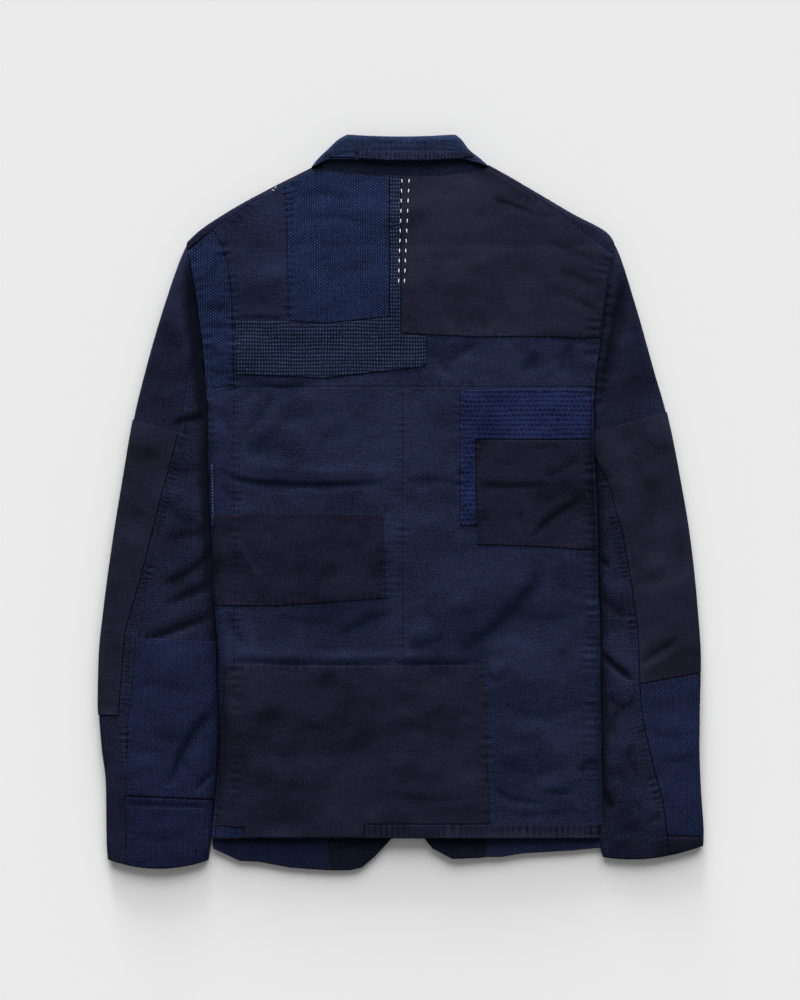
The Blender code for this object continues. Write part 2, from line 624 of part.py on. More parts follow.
def build_collar(stand_tube, leaf_tube, add_panel, add_patch):
    """The stand, the leaf that falls over it and its points, and the binding on its edge."""
    stand = ((-85, 354),) + NECK_SEAM[5:0:-1] + ((84, 354), (112, 354), (97, 374), (84, 380),
                                                 (-84, 380), (-101, 374), (-115, 354))
    add_panel("collar_stand", stand_tube, ABOVE, (3, 3), stand, "navy")
    leaf = ((-91.5, 354), (-76, 359), (-47, 359), (-14, 357), (30, 357), (66, 359), (90, 354.5),
            (100, 352), (101, 290), (138, 312), (140, 340), (106, 366), (74, 386), (-72, 386),
            (-111, 366), (-141, 340), (-139, 312), (-102, 290), (-101, 352))
    add_panel("collar_leaf", leaf_tube, ABOVE, (4, 4), leaf, "collar_blue",
              thickness=COLLAR_LEAF)
    add_patch("collar_binding", leaf_tube, (0, 0),
              ((-45, 368), (72, 368), (76, 362), (64, 360), (30, 358), (-14, 358), (-45, 360)),
              "brown_black")
    add_patch("collar_strip", leaf_tube, (0, 0),
              ((-74, 366), (-47, 367), (-47, 361), (-76, 361)), "sashiko_blue")


def add_lapel(name, side, collection):
    """A lapel turned back on a front: a flat outline of cloth on cloth, on the ground."""
    corners = ((CENTRE_FRONT + side * 46.0, 301), (CENTRE_FRONT + side * 108.0, 270),
               (CENTRE_FRONT + side * 100.0, 246), (CENTRE_FRONT + side * 44.0, 188),
               (CENTRE_FRONT + side * 2.0, 160))
    curve = bpy.data.curves.new(name, "CURVE")
    curve.dimensions = "2D"
    curve.fill_mode = "BOTH"
    curve.extrude = 0.5 * LAPEL * MM
    spline = curve.splines.new("POLY")
    spline.points.add(len(corners) - 1)
    for point, corner in zip(spline.points, corners):
        point.co = (corner[0] * MM, corner[1] * MM, 0.0, 1.0)
    spline.use_cyclic_u = True
    lapel = bpy.data.objects.new(name, curve)
    lapel.location.z = 0.5 * LAPEL * MM
    lapel.data.materials.append(cloth_material("brown_black"))
    weld = lapel.modifiers.new("caps", "WELD")
    weld.merge_threshold = 0.00001
    collection.objects.link(lapel)
    return lapel


def add_button(number, height, collection):
    """A plain round button that closes the fronts, flat on the ground."""
    button = bmesh.new()
    bmesh.ops.create_cone(button, cap_ends=True, segments=16, radius1=BUTTON_RADIUS * MM,
                          radius2=BUTTON_RADIUS * MM, depth=BUTTON_THICKNESS * MM)
    rims = [edge for edge in button.edges if edge.calc_length() < 0.5 * BUTTON_RADIUS * MM
            and edge.verts[0].co.z * edge.verts[1].co.z > 0.0]
    bmesh.ops.bevel(button, geom=rims, offset=BUTTON_RIM * MM, segments=1, profile=0.5,
                    affect="EDGES", material=-1)
    made = add_object(f"button_{number}", button, "button_dark", collection)
    made.location = (CENTRE_FRONT * MM, height * MM, 0.5 * BUTTON_THICKNESS * MM)


def main():
    for old in list(bpy.data.objects):
        bpy.data.objects.remove(old, do_unlink=True)
    collection = bpy.data.collections.new("patched_boro_jacket")
    bpy.context.scene.collection.children.link(collection)

    def add_panel(name, tube, side, past, outline, cloth, thickness=CLOTH):
        """A piece of the garment itself, whose outer face is the tube's."""
        sheet = tube.cloth(side, *past)
        cut_out(sheet, drawn_in(outline, 0.5 * GAP))
        make_thick(sheet, -thickness, 0.0)
        add_object(name, sheet, cloth, collection)

    def add_patch(name, tube, past, outline, cloth):
        """A piece sewn on the outside of the panels."""
        sheet = tube.cloth(ABOVE, *past)
        cut_out(sheet, drawn_in(outline, 0.5 * GAP))
        make_thick(sheet, GAP, GAP + PATCH)
        add_object(name, sheet, cloth, collection)

    body = body_tube(centre_lift)
    build_back(body, add_panel)
    build_shoulders(body, add_panel)
    build_fronts(body, body_tube(right_front_lift), add_panel)
    build_back_patches(body, add_patch)
    build_left_sleeve(left_sleeve_tube(), add_panel, add_patch)
    build_right_sleeve(right_sleeve_tube(), add_panel, add_patch)
    build_collar(collar_tube(STAND_ROWS), collar_tube(LEAF_ROWS), add_panel, add_patch)
    add_lapel("lapel_left", -1, collection)
    add_lapel("lapel_right", 1, collection)
    for number, height in enumerate(BUTTON_HEIGHTS, start=1):
        add_button(number, height, collection)


main()
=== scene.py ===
# %% [markdown]
# # A patched boro jacket, laid face down
# The real jacket is cut from worn indigo cloths, sewn flat and patched again on top, then washed
# until every seam puckers.  A plain model of its panels is loaded first as a fixed frame.  Each
# panel and patch is then made again here as a fine sheet of cloth on the same form, with its
# creases, puckers, weave and stitches.

# %% Load the frame
import json
import math
from collections import namedtuple
from itertools import compress

import bmesh
import bpy
import numpy as np
from mathutils import Matrix, Vector
from mathutils.kdtree import KDTree

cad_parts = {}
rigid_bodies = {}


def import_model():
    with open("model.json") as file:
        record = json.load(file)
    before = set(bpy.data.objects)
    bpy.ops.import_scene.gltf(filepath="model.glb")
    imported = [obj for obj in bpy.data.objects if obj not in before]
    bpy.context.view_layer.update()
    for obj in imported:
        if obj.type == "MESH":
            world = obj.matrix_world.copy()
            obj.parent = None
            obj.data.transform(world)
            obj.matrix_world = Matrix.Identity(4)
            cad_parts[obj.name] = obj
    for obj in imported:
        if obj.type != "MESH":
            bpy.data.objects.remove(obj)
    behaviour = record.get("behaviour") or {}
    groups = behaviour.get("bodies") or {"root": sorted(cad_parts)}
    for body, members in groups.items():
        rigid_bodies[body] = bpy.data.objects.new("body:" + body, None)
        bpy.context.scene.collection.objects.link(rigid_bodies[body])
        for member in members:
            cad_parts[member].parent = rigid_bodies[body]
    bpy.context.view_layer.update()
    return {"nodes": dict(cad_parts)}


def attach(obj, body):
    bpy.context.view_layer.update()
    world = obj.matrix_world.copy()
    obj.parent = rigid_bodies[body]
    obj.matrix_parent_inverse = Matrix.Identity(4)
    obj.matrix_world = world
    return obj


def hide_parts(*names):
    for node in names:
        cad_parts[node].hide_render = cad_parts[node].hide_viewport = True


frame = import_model()
print("frame loaded:", len(frame["nodes"]), "nodes")

# %% [markdown]
# ## Sizes
# All sizes are in millimetres, as a maker would write them, and MM turns them into Blender's
# metres.  The cloth is a wall 1.5 mm thick, and a patch 0.9 mm thick lies on it.  The grid step is
# the spacing of the mesh: about 2.4 mm where the cloth shows, which is fine enough for a pucker
# 7 mm long, finer on the small collar, and wider underneath.

# %% Cloth and grid sizes
MM = 0.001
CLOTH = 1.5
COLLAR_LEAF = 2.5
LAPEL = 3.0
PATCH_LOW, PATCH_HIGH = 0.25, 1.15
GAP = 0.24
TURNED_EDGE, ROLLED_EDGE = 0.8, 0.7
STEP, COLLAR_STEP, HIDDEN_STEP, UNDER_STEP = 2.35, 1.6, 3.2, 5.6
MARGIN = 6.0
ABOVE, BELOW = 1, -1
CENTRE_FRONT = 7.0
OVERLAP = 17.0
UNDERLAY, HEM_CURL = 3.6, 5.4
HEM = -352.0
YOKE = 121.0
CENTRE_BACK = 2.0
FOLD_TURNS = 1.0 - np.cos(np.radians((0, 14, 30, 47, 66, 90)))
NONE, FOLD, ALL = 0, len(FOLD_TURNS) - 1, None
print("grid step", STEP, "mm on top and", UNDER_STEP, "mm underneath")

# %% [markdown]
# ## The form, as tables of rows
# A garment lying flat is a set of flattened tubes.  Each row of a table is one ring round a tube:
# its left and right edge, how round the folded edge is, and how much the middle is crowned.
# A table is quicker to change than a sculpted shape, and the frame uses the same numbers.

# %% Reading tables
def corners(text):
    """The corners of a line or an outline, from a text of x and y in turn."""
    numbers = [float(number) for number in text.split()]
    return tuple(zip(numbers[::2], numbers[1::2]))


def table(text):
    """Rows with named columns: the first line names them, and a last one left out is 0."""
    names, *lines = text.splitlines()
    Row = namedtuple("Row", names, defaults=(0.0,))
    return [Row(*map(float, line.split())) for line in lines]


print("two corners:", corners("0 120  0 -166"))

# %% Rows of the body, sleeves and collar
BODY_ROWS = table("""height left right radius reach crown opened
355 -86 90 7.5 14 0
344 -108 110 7.5 14 1
330 -136 134 7.5 14 2
304 -183 178 7.5 12 5
280 -217 219 7.5 10 6
270 -225 224 7.5 9 6
261 -223 223 8 8 6 1
225 -216 216 8.5 8 7 1
166 -208 208 8.5 8 7 1
106 -203 202 8.5 8 8 1
95 -202 202 8.5 8 8
54 -202 202 8.5 9 8
38 -202 203 8.5 9 8
24 -201 204 8.5 9 8
8 -201 205 8.5 9 8
-36 -198 206 8.5 9 8
-95 -196 207 8.5 9 7
-148 -192 209 8 9 7
-167 -191 209 8 9 6
-184 -191 209 8 9 6
-245 -189 210 7.5 8 5
-300 -193 211 7 8 4
-353 -198 211 6 8 3
-388 -198 211 6 8 3""")
UNDERARM, LEAN = 10, 1.7
LEFT_SLEEVE_ROWS = table("""outer_x outer_y inner_x inner_y radius reach crown bow dip
-222.5 273 -198 98 6.3 16 0 3.2
-226 267 -202.6 96 6.9 16 1 3.2
-246 213 -202.5 86 7.5 14 3 2
-269 134 -202.3 72 7.5 10 4 0.5
-280 88 -202.2 60 7.5 9 4 0
-290 30 -201.8 18 7.5 8 4 0
-301 -38 -198.3 -43 7.5 8 4 0
-311 -112 -195.2 -112 7 8 4 0
-316 -162 -191.6 -164 7 8 4 0
-317 -210 -190.3 -214 7 8 4 0
-314.5 -252 -190.1 -258 7 8 3 0
-309.5 -296 -193.2 -300 6.5 7 3 0 1
-308.8 -358 -199.5 -358 5.3 7 2 0 6
-307.6 -374.4 -201.8 -375 4.5 7 1 0 9""")
RIGHT_SLEEVE_ROWS = table("""outer_x outer_y inner_x inner_y radius reach crown bow dip
222.5 273 198 98 6.3 16 0 3.2
226 267 202.6 96 6.9 16 1 3.2
245 210 202.5 86 7.5 14 3 2
266 136 202.4 73 7.5 10 4 0.5
278 94 202.3 63 7.5 9 4 0
291 30 204.6 20 7.5 8 4 0
302.5 -39 206.6 -41 7.5 8 4 0
310 -110 208.1 -110 7 8 4 0
313.5 -166 209.5 -164 7 8 4 0
312.5 -210 209.9 -206 7 8 4 0
312 -256 210.6 -252 7 8 3 0
313.5 -300 211.4 -298 6.5 7 3 0 1
316.5 -348 208 -356 5.3 7 2 0 4
316 -360 212 -372 4.5 7 1 0 7""")

STAND_ROWS = table("""height left right radius reach crown base dip
381 -58 57 5.6 6 0 3.6
374 -67 63.5 5.7 7 0 3.6
358 -83 80 5.3 9 -0.9 3.6
336 -97 96 5.2 9 -1 3.6""")
LEAF_ROWS = table("""height left right radius reach crown base dip
385.6 -57 57.5 7.8 6 0 0 2.2
381 -65 63 9.2 6 0 0 1.6
370 -77 71.5 9.6 6 0 0 0.5
358 -89 86 9.8 6 0 0
350 -94 93 9.8 6 0 0
316 -94 93 9.8 6 0 0
282 -94 93 9.8 6 0 0""")
print("rows:", len(BODY_ROWS), "for the body and", len(LEFT_SLEEVE_ROWS), "for a sleeve")

# %% [markdown]
# ## Creases and seams, placed one by one
# A crease is a soft trough along a bent line.  One side is steep and the other is gentle, as
# where a bulge of cloth leans over the cloth below it, so it has a width on its left-hand side
# and one on its right-hand side.  A negative depth is a ridge.  A seam puckers the cloth
# beside it, because its thread shrinks in the wash and the cloth does not.

# %% Tables of creases
BODY_CREASES = table("""start_x start_y middle_x middle_y end_x end_y depth left right
-192 38 -140 20 -16 22 3 1.8 5
4 23 30 24 61 20 1 2.2 6
-180 46 -100 34 10 33 -1 7 7
-162 128 -125 121 -88 127 1.7 2.2 5
79 18 118 17 157 19 1.3 2 4
134 -41 158 -16 195 6 2.3 3.5 4.5
125 -6 128 -24 134 -41 0.9 2.2 3
138 54 154 58 172 56 0.9 2.5 3.5
149 28 168 34 188 48 1 3 4
96 46 106 40 118 42 0.6 2.5 3.5
146 -62 121 -111 58 -160 2.2 8 8
8 -152 28 -148 48 -140 1.2 4 6
-183 -164 -120 -168 -10 -168.4 1.5 1.3 2.6
-10 -168.4 40 -168.6 90 -167 1.6 1.3 2.6
-176 -157 -70 -161 84 -159 -1.1 5 5
92 -172 98 -187 115 -171 1 2.4 3
98 -290 112 -309 158 -315 1.4 3 5
150 -301 166 -304 182 -303 1.1 2.4 4
183 -283 192 -278 203 -268 1.5 4 4
100 -268 140 -284 192 -262 0.8 7 7
102 -326 140 -328 190 -324 0.6 3 4
-176 -28 -161 -60 -139 -88 -0.8 3 3
-181 -112 -172 -140 -158 -158 1.4 5 5
-68 -142 -40 -127 -8 -112 1.4 5 6
-130 -118 -95 -126 -60 -120 0.8 6 6
-160 44 -132 74 -104 112 1.5 10 10
-172 62 -152 84 -132 116 1.1 5 6
92 317 104 315 142 301 1.2 2.6 4
60 305 66 284 67 262 0.5 3 3
150 272 180 262 207 250 0.9 4 5
165 241 188 234 209 222 1 4 5
172 214 190 208 207 198 0.9 3 4
-112 318 -80 322 -44 316 0.8 3.5 5
-108 292 -66 298 -30 288 0.7 4 5
-100 248 -60 243 -18 251 0.6 6 7
-166 270 -140 262 -124 268 0.7 5 6
-160 222 -146 210 -124 214 0.5 7 7
24 166 38 150 58 126 1.2 8 8
82 168 66 158 50 144 1.6 4 6
142 161 137 148 128 133 1.3 4 5
179 167 171 152 168 131 1.2 4 5
118 162 136 150 146 126 0.7 8 8
172 168 178 152 180 128 0.8 4 4
150 176 180 170 204 172 0.9 2.5 4
90 112 86 60 60 22 0.7 10 10
120 -110 160 -124 200 -104 0.9 7 8
100 -206 150 -224 202 -204 0.9 8 10
96 -236 122 -250 150 -244 0.6 6 7
-64 -256 0 -240 74 -250 0.7 12 12
-172 -290 -110 -302 -40 -286 0.7 10 10
-150 -220 -120 -232 -90 -222 0.6 8 8
-22 -306 40 -312 86 -304 0.6 4 5
-185 -40 -192 -66 -186 -100 0.8 4 4
-190 100 -183 82 -172 70 0.9 5 6
-188 20 -180 8 -166 2 0.9 4 5
-188 262 -196 240 -206 226 0.8 4 4
-172 194 -145 193 -118 191.5 0.9 1.4 1.4
-172 198 -145 197 -118 195.5 -0.5 3 3
-205 208 -196 202 -182 204 1 2.6 3.6
-206 188 -194 183 -180 186 0.9 2.6 3.6
-204 160 -192 154 -179 158 0.9 2.6 3.6
-203 138 -192 134 -179 137 0.8 2.6 3.6
-201 88 -200 -20 -194 -130 2.2 4 11
-194 -110 -187 -230 -195 -346 2.6 4 14
201 88 203 -20 207 -130 2.3 9 4
207 -110 208 -230 209 -346 2.3 9 4""")
LEFT_SLEEVE_CREASES = table("""start_x start_y middle_x middle_y end_x end_y depth left right
-240 80 -222 87 -202 89 2.6 3 4
-272 -146 -236 -134 -194 -118 3 6 3.5
-250 -108 -222 -97 -194 -84 2.2 6 5
-252 -88 -222 -73 -197 -54 2.4 5 6
-246 -46 -226 -36 -202 -34 1.6 7 6
-204 84 -203 -20 -197 -120 5 14 5
-197 -100 -192 -230 -201 -350 5 16 5
-194 -219 -219 -246 -243 -299 4.4 6 4.5
-194 -281 -204 -290 -216 -302 2.6 3 3.5
-225 258 -217 185 -205 66 5.6 6.5 5
-240 232 -232 190 -222 130 -0.9 6 6
-292 62 -272 44 -252 50 0.8 8 8
-268 150 -250 130 -226 138 1 10 9
-252 190 -240 168 -222 160 0.8 8 8
-286 -196 -250 -192 -214 -206 0.9 7 7
-292 -345 -250 -353 -214 -344 0.7 6 6
-292 -316 -245 -317 -200 -319 2 1.5 2
-302 2 -286 -14 -268 -8 0.7 8 8
-308 -130 -300 -152 -303 -184 0.8 6 6
-250 10 -232 -16 -214 -20 1.1 7 7
-246 40 -228 30 -208 36 0.9 5 5
-262 -240 -240 -250 -222 -246 0.7 5 6
-286 -252 -268 -262 -250 -258 0.6 5 6""")
RIGHT_SLEEVE_CREASES = table("""start_x start_y middle_x middle_y end_x end_y depth left right
238 252 226 194 207 96 3.4 6.5 4.5
204 66 206 -40 210 -150 3.8 5 13
210 -120 212 -240 212 -350 3.2 5 9
209 -157 222 -170 244 -187 3.6 3 3.5
205 -57 212 -63 220 -67 2.6 3 3
212 -302 215 -312 221 -324 3.4 4 3
257 -338 264 -333 272 -326 1.2 2.4 3
250 -169 270 -156 292 -141 1.3 3 4
252 -176 272 -165 296 -150 -0.9 4 4
234 -214 222 -232 227 -252 1.3 4 4
246 -254 239 -270 250 -288 1.1 4 4
214 -198 232 -214 247 -204 1.3 4 5
240 62 257 20 262 -34 0.8 9 9
286 -18 293 -50 290 -84 0.9 6 6
262 -238 285 -247 309 -238 0.8 5 6
274 -266 290 -271 306 -266 0.9 4 5
209 -98 222 -112 238 -120 1.2 4 5
244 188 253 150 263 108 1 9 9
216 36 222 10 232 -6 0.9 5 5
214 -336 230 -342 252 -338 0.5 5 6
222 -272 232 -290 250 -300 0.6 5 6
254 74 262 58 280 52 0.7 6 6""")
print("creases on the body:", len(BODY_CREASES))

# %% Tables of seams that pucker
Seam = namedtuple("Seam", "reach height pitch line")


def seams(text):
    """Seams from rows that have the reach, height and pitch of the puckers and then the line."""
    rows = [line.split(maxsplit=3) for line in text.splitlines()]
    return [Seam(*map(float, row[:3]), corners(row[3])) for row in rows]


def beside_line(line, offset):
    """A line moved to its left-hand side."""
    moved = []
    for number, (x, y) in enumerate(line):
        (ax, ay), (bx, by) = line[max(number - 1, 0)], line[min(number + 1, len(line) - 1)]
        length = math.hypot(bx - ax, by - ay)
        moved.append((x - (by - ay) / length * offset, y + (bx - ax) / length * offset))
    return moved


LEFT_ELBOW_SEAM = corners("-233 74  -252 3  -273 -80  -289 -133  -296 -223  -288 -307  -288 -375")
RIGHT_ELBOW_SEAM = corners("218 24  232 -32  242 -89  248 -133  250 -190  253 -228  265 -279 "
                           "274 -312  281 -366")
BODY_SEAMS = seams("""6 0.34 6.5  0 120  0 -166
7 0.28 7.5  -173 118  -173 -350
5 0.35 7.0  -199 90  -199 30  -196 -60  -190 -160  -187 -260  -195 -345
8 0.45 7.5  199 116  201 -350
5 0.3 8.0  -12 121  72 121
6 0.6 8.0  -186 267  -179 236  -176 190  -175 121
10 0.5 10.5  -223 261  -216 225  -208 166  -203 106
11 0.55 9.5  223 261  216 225  208 166  202 106
6 0.8 6.0  -38 -345  208 -345
6 0.35 7.0  78 66  198 66
6 0.35 7.0  79 66  80 -44  145 -46  203 -50
6 0.35 7.0  -196 -13  -19 -12  -16 -100  -130 -108  -193 -108
6 0.3 9.0  -183 -174  85 -174  89 -200  92 -337
6 0.3 8.0  0 177  84 173  204 172
5 0.4 7.0  -117 330  -116 192  -81 188  -12 195  -12 338
5 0.3 7.0  62 118  62 -22
5 0.3 8.0  -173 134  -81 130  27 143
8 0.2 9.0  -190 282  -148 315  -108 339
8 0.3 9.0  190 280  126 326  91 348""")
LEFT_SLEEVE_SEAMS = [Seam(5.5, 0.55, 5.4, beside_line(LEFT_ELBOW_SEAM, 6.0))] + seams("""\
5 0.35 8.0  -309 -313  -202 -315
5 0.3 7.0  -278 -142  -199 -146
6 0.35 8.0  -288 -370  -206 -370""")
RIGHT_SLEEVE_SEAMS = [Seam(5.5, 0.6, 5.6, beside_line(RIGHT_ELBOW_SEAM, -5.0))] + seams("""\
5 0.35 7.0  250 -191  316 -179
9 0.6 9.0  212 232  205 150  203 100
5 0.35 7.0  279 -350  317 -351""")
COLLAR_SEAMS = seams("""4.5 0.75 4.2  -45 363  76 362
5 0.3 5.5  -70 376  66 375""")
COLLAR_CREASES = table("""start_x start_y middle_x middle_y end_x end_y depth left right
-44 369.2 12 369.6 74 368.4 0.7 1.4 2
-40 381 -16 376 4 380 0.7 4 4
10 378 34 374 56 379 0.6 4 4
-84 358 -66 364 -44 364 0.8 1.6 2.4""")
print("seams that pucker on the body:", len(BODY_SEAMS))

# %% [markdown]
# ## Waves, distances and curves
# Washed cloth is never quite flat.  Noise made on a small table of random heights gives that
# unevenness, and its seed is fixed, so each run gives the same jacket.  A crease or a seam needs
# the distance from each point to a line, and how far along the line that is.

# %% Helpers for waves and distances
NOISE_SIZE = 61, 67


def uneven(x, y, seed):
    """Soft irregular waves about one high, over distances of about one."""
    heights = np.random.default_rng(seed).normal(size=NOISE_SIZE)
    i, j = np.floor(x).astype(int), np.floor(y).astype(int)
    u, v = x - i, y - j
    u, v = u ** 3 * (u * (6 * u - 15) + 10), v ** 3 * (v * (6 * v - 15) + 10)
    near, far, near_up, far_up = (heights[(i + over) % NOISE_SIZE[0], (j + up) % NOISE_SIZE[1]]
                                  for up in (0, 1) for over in (0, 1))
    return (near * (1 - u) + far * u) * (1 - v) + (near_up * (1 - u) + far_up * u) * v


def eased(share):
    """A smooth step from 0 to 1."""
    share = np.clip(share, 0.0, 1.0)
    return share * share * (3.0 - 2.0 * share)


def beside(line, x, y):
    """The distance to a line, positive on its left-hand side, and how far along it that is."""
    closest = np.full(x.shape, 1e9)
    along = np.zeros(x.shape)
    gone = 0.0
    for (ax, ay), (bx, by) in zip(line, line[1:]):
        run_x, run_y = bx - ax, by - ay
        length = math.hypot(run_x, run_y)
        held = np.clip(((x - ax) * run_x + (y - ay) * run_y) / length ** 2, 0.0, 1.0)
        off_x, off_y = x - ax - held * run_x, y - ay - held * run_y
        off = np.hypot(off_x, off_y) * np.where(run_x * off_y - run_y * off_x < 0, -1, 1)
        nearer = np.abs(off) < np.abs(closest)
        closest = np.where(nearer, off, closest)
        along = np.where(nearer, gone + held * length, along)
        gone += length
    return closest, along, gone


def within(x, y, low, high):
    """True inside the rectangle between two corners."""
    return (x > low[0]) & (x < high[0]) & (y > low[1]) & (y < high[1])


def bent_line(crease, count=9):
    """A curve through a crease's start, middle and end."""
    start, middle, end = np.array(crease[:6]).reshape(3, 2)
    pull = 2.0 * middle - 0.5 * (start + end)
    share = np.linspace(0.0, 1.0, count)[:, None]
    return (1 - share) ** 2 * start + 2 * share * (1 - share) * pull + share ** 2 * end


def smooth_between(knots, values, stops):
    """A curve through the values that never goes past them, at each stop."""
    gap = np.diff(knots)
    rise = np.diff(values) / gap
    before, after = rise[:-1], rise[1:]
    turning = before * after <= 0
    safe_before, safe_after = np.where(turning, 1, before), np.where(turning, 1, after)
    heavy, light = 2 * gap[1:] + gap[:-1], gap[1:] + 2 * gap[:-1]
    middle = (heavy + light) / (heavy / safe_before + light / safe_after)
    slope = np.concatenate(([rise[0]], np.where(turning, 0, middle), [rise[-1]]))
    i = np.clip(np.searchsorted(knots, stops, side="right") - 1, 0, len(gap) - 1)
    s = (stops - knots[i]) / gap[i]
    return (values[i] * (1 + 2 * s) * (1 - s) ** 2 + values[i + 1] * s * s * (3 - 2 * s)
            + gap[i] * s * (1 - s) * (slope[i] * (1 - s) - slope[i + 1] * s))


print("noise at one place:", uneven(np.array([3.2]), np.array([1.7]), 5).round(3))

# %% Relief of the cloth's upper side
FADES_OUT = 3.0


def sunk(creases, x, y):
    """How far the creases sink the cloth, which ends within FADES_OUT widths of each."""
    depth = np.zeros(x.shape)
    for crease in creases:
        line = bent_line(crease)
        reach = FADES_OUT * max(crease.left, crease.right)
        held = within(x, y, line.min(axis=0) - reach, line.max(axis=0) + reach)
        if not held.any():
            continue
        off, along, length = beside(line, x[held], y[held])
        width = np.where(off > 0, crease.left, crease.right)
        width = width * (1.0 + 0.25 * uneven(along / 17.0, off * 0 + 0.5, 31))
        share = along / length
        ends = np.sqrt(np.clip(eased(share * 3.0) * eased((1.0 - share) * 3.0), 0.0, 1.0))
        depth[held] += crease.depth * ends * np.exp(-np.abs(off / width) ** 1.5)
    return depth


def puckered(seams, x, y):
    """How far the seams' puckers lift the cloth, with a dip along each seam."""
    height = np.zeros(x.shape)
    for number, seam in enumerate(seams):
        off, along, _ = beside(seam.line, x, y)
        held = np.abs(off) < FADES_OUT * seam.reach
        if not held.any():
            continue
        off, along = off[held], along[held]
        turn = 2.4 * uneven(along / 26.0, off / 30.0, 40 + number)
        wave = np.sin(2.0 * math.pi * along / seam.pitch + turn)
        size = 0.75 + 0.45 * uneven(along / 19.0, off / 14.0, 80 + number)
        near = np.exp(-(off / seam.reach) ** 2)
        height[held] += 1.5 * seam.height * near * (size * wave - 0.3)
    return height


def rumpled(x, y, seed):
    """The unevenness of washed cloth, long waves and short ones."""
    tilt_x, tilt_y = 0.94 * x + 0.34 * y, 0.94 * y - 0.34 * x
    return (0.55 * uneven(x / 58.0, y / 41.0, seed)
            + 0.26 * uneven(tilt_x / 23.0, tilt_y / 15.0, seed + 1)
            + 0.13 * uneven(tilt_y / 11.0, tilt_x / 12.0, seed + 2)
            + 0.06 * uneven(x / 6.5, y / 4.6, seed + 3))


def centre_lift(x, y):
    """How far the lapels, the collar's points and the buttons lift the fronts.

    The fronts' hems curl up a little below the back."""
    half_width = 60.0 + 80.0 * eased((y - 130.0) / 60.0)
    near_centre = 1.0 - eased((np.abs(x - CENTRE_FRONT) - half_width) / 34.0)
    above_buttons = eased((y + 128.0) / 40.0)
    below_back = eased((-330.0 - y) / 30.0)
    return UNDERLAY * near_centre * above_buttons + HEM_CURL * below_back


def right_front_lift(x, y):
    """The right front lies on the inner face of the left one, where they overlap."""
    tucked = 1.0 - eased((x - CENTRE_FRONT - 2.2 * OVERLAP) / 40.0)
    return centre_lift(x, y) + (CLOTH + 0.3) * tucked


def no_lift(x, y):
    return np.zeros(x.shape)


print("relief ready")

# %% [markdown]
# ## A tube of cloth as one grid
# The tube gives every grid point three things: its place when the cloth is laid out flat, its
# place on the jacket, and the way the cloth faces there.  The flat place is for cutting and for
# the weave, so a pattern runs round a fold as real cloth does.

# %% The tube
def width_of(row):
    """The width of a row, from its left edge to its right one."""
    return np.hypot(row["right_x"] - row["left_x"], row["right_y"] - row["left_y"])


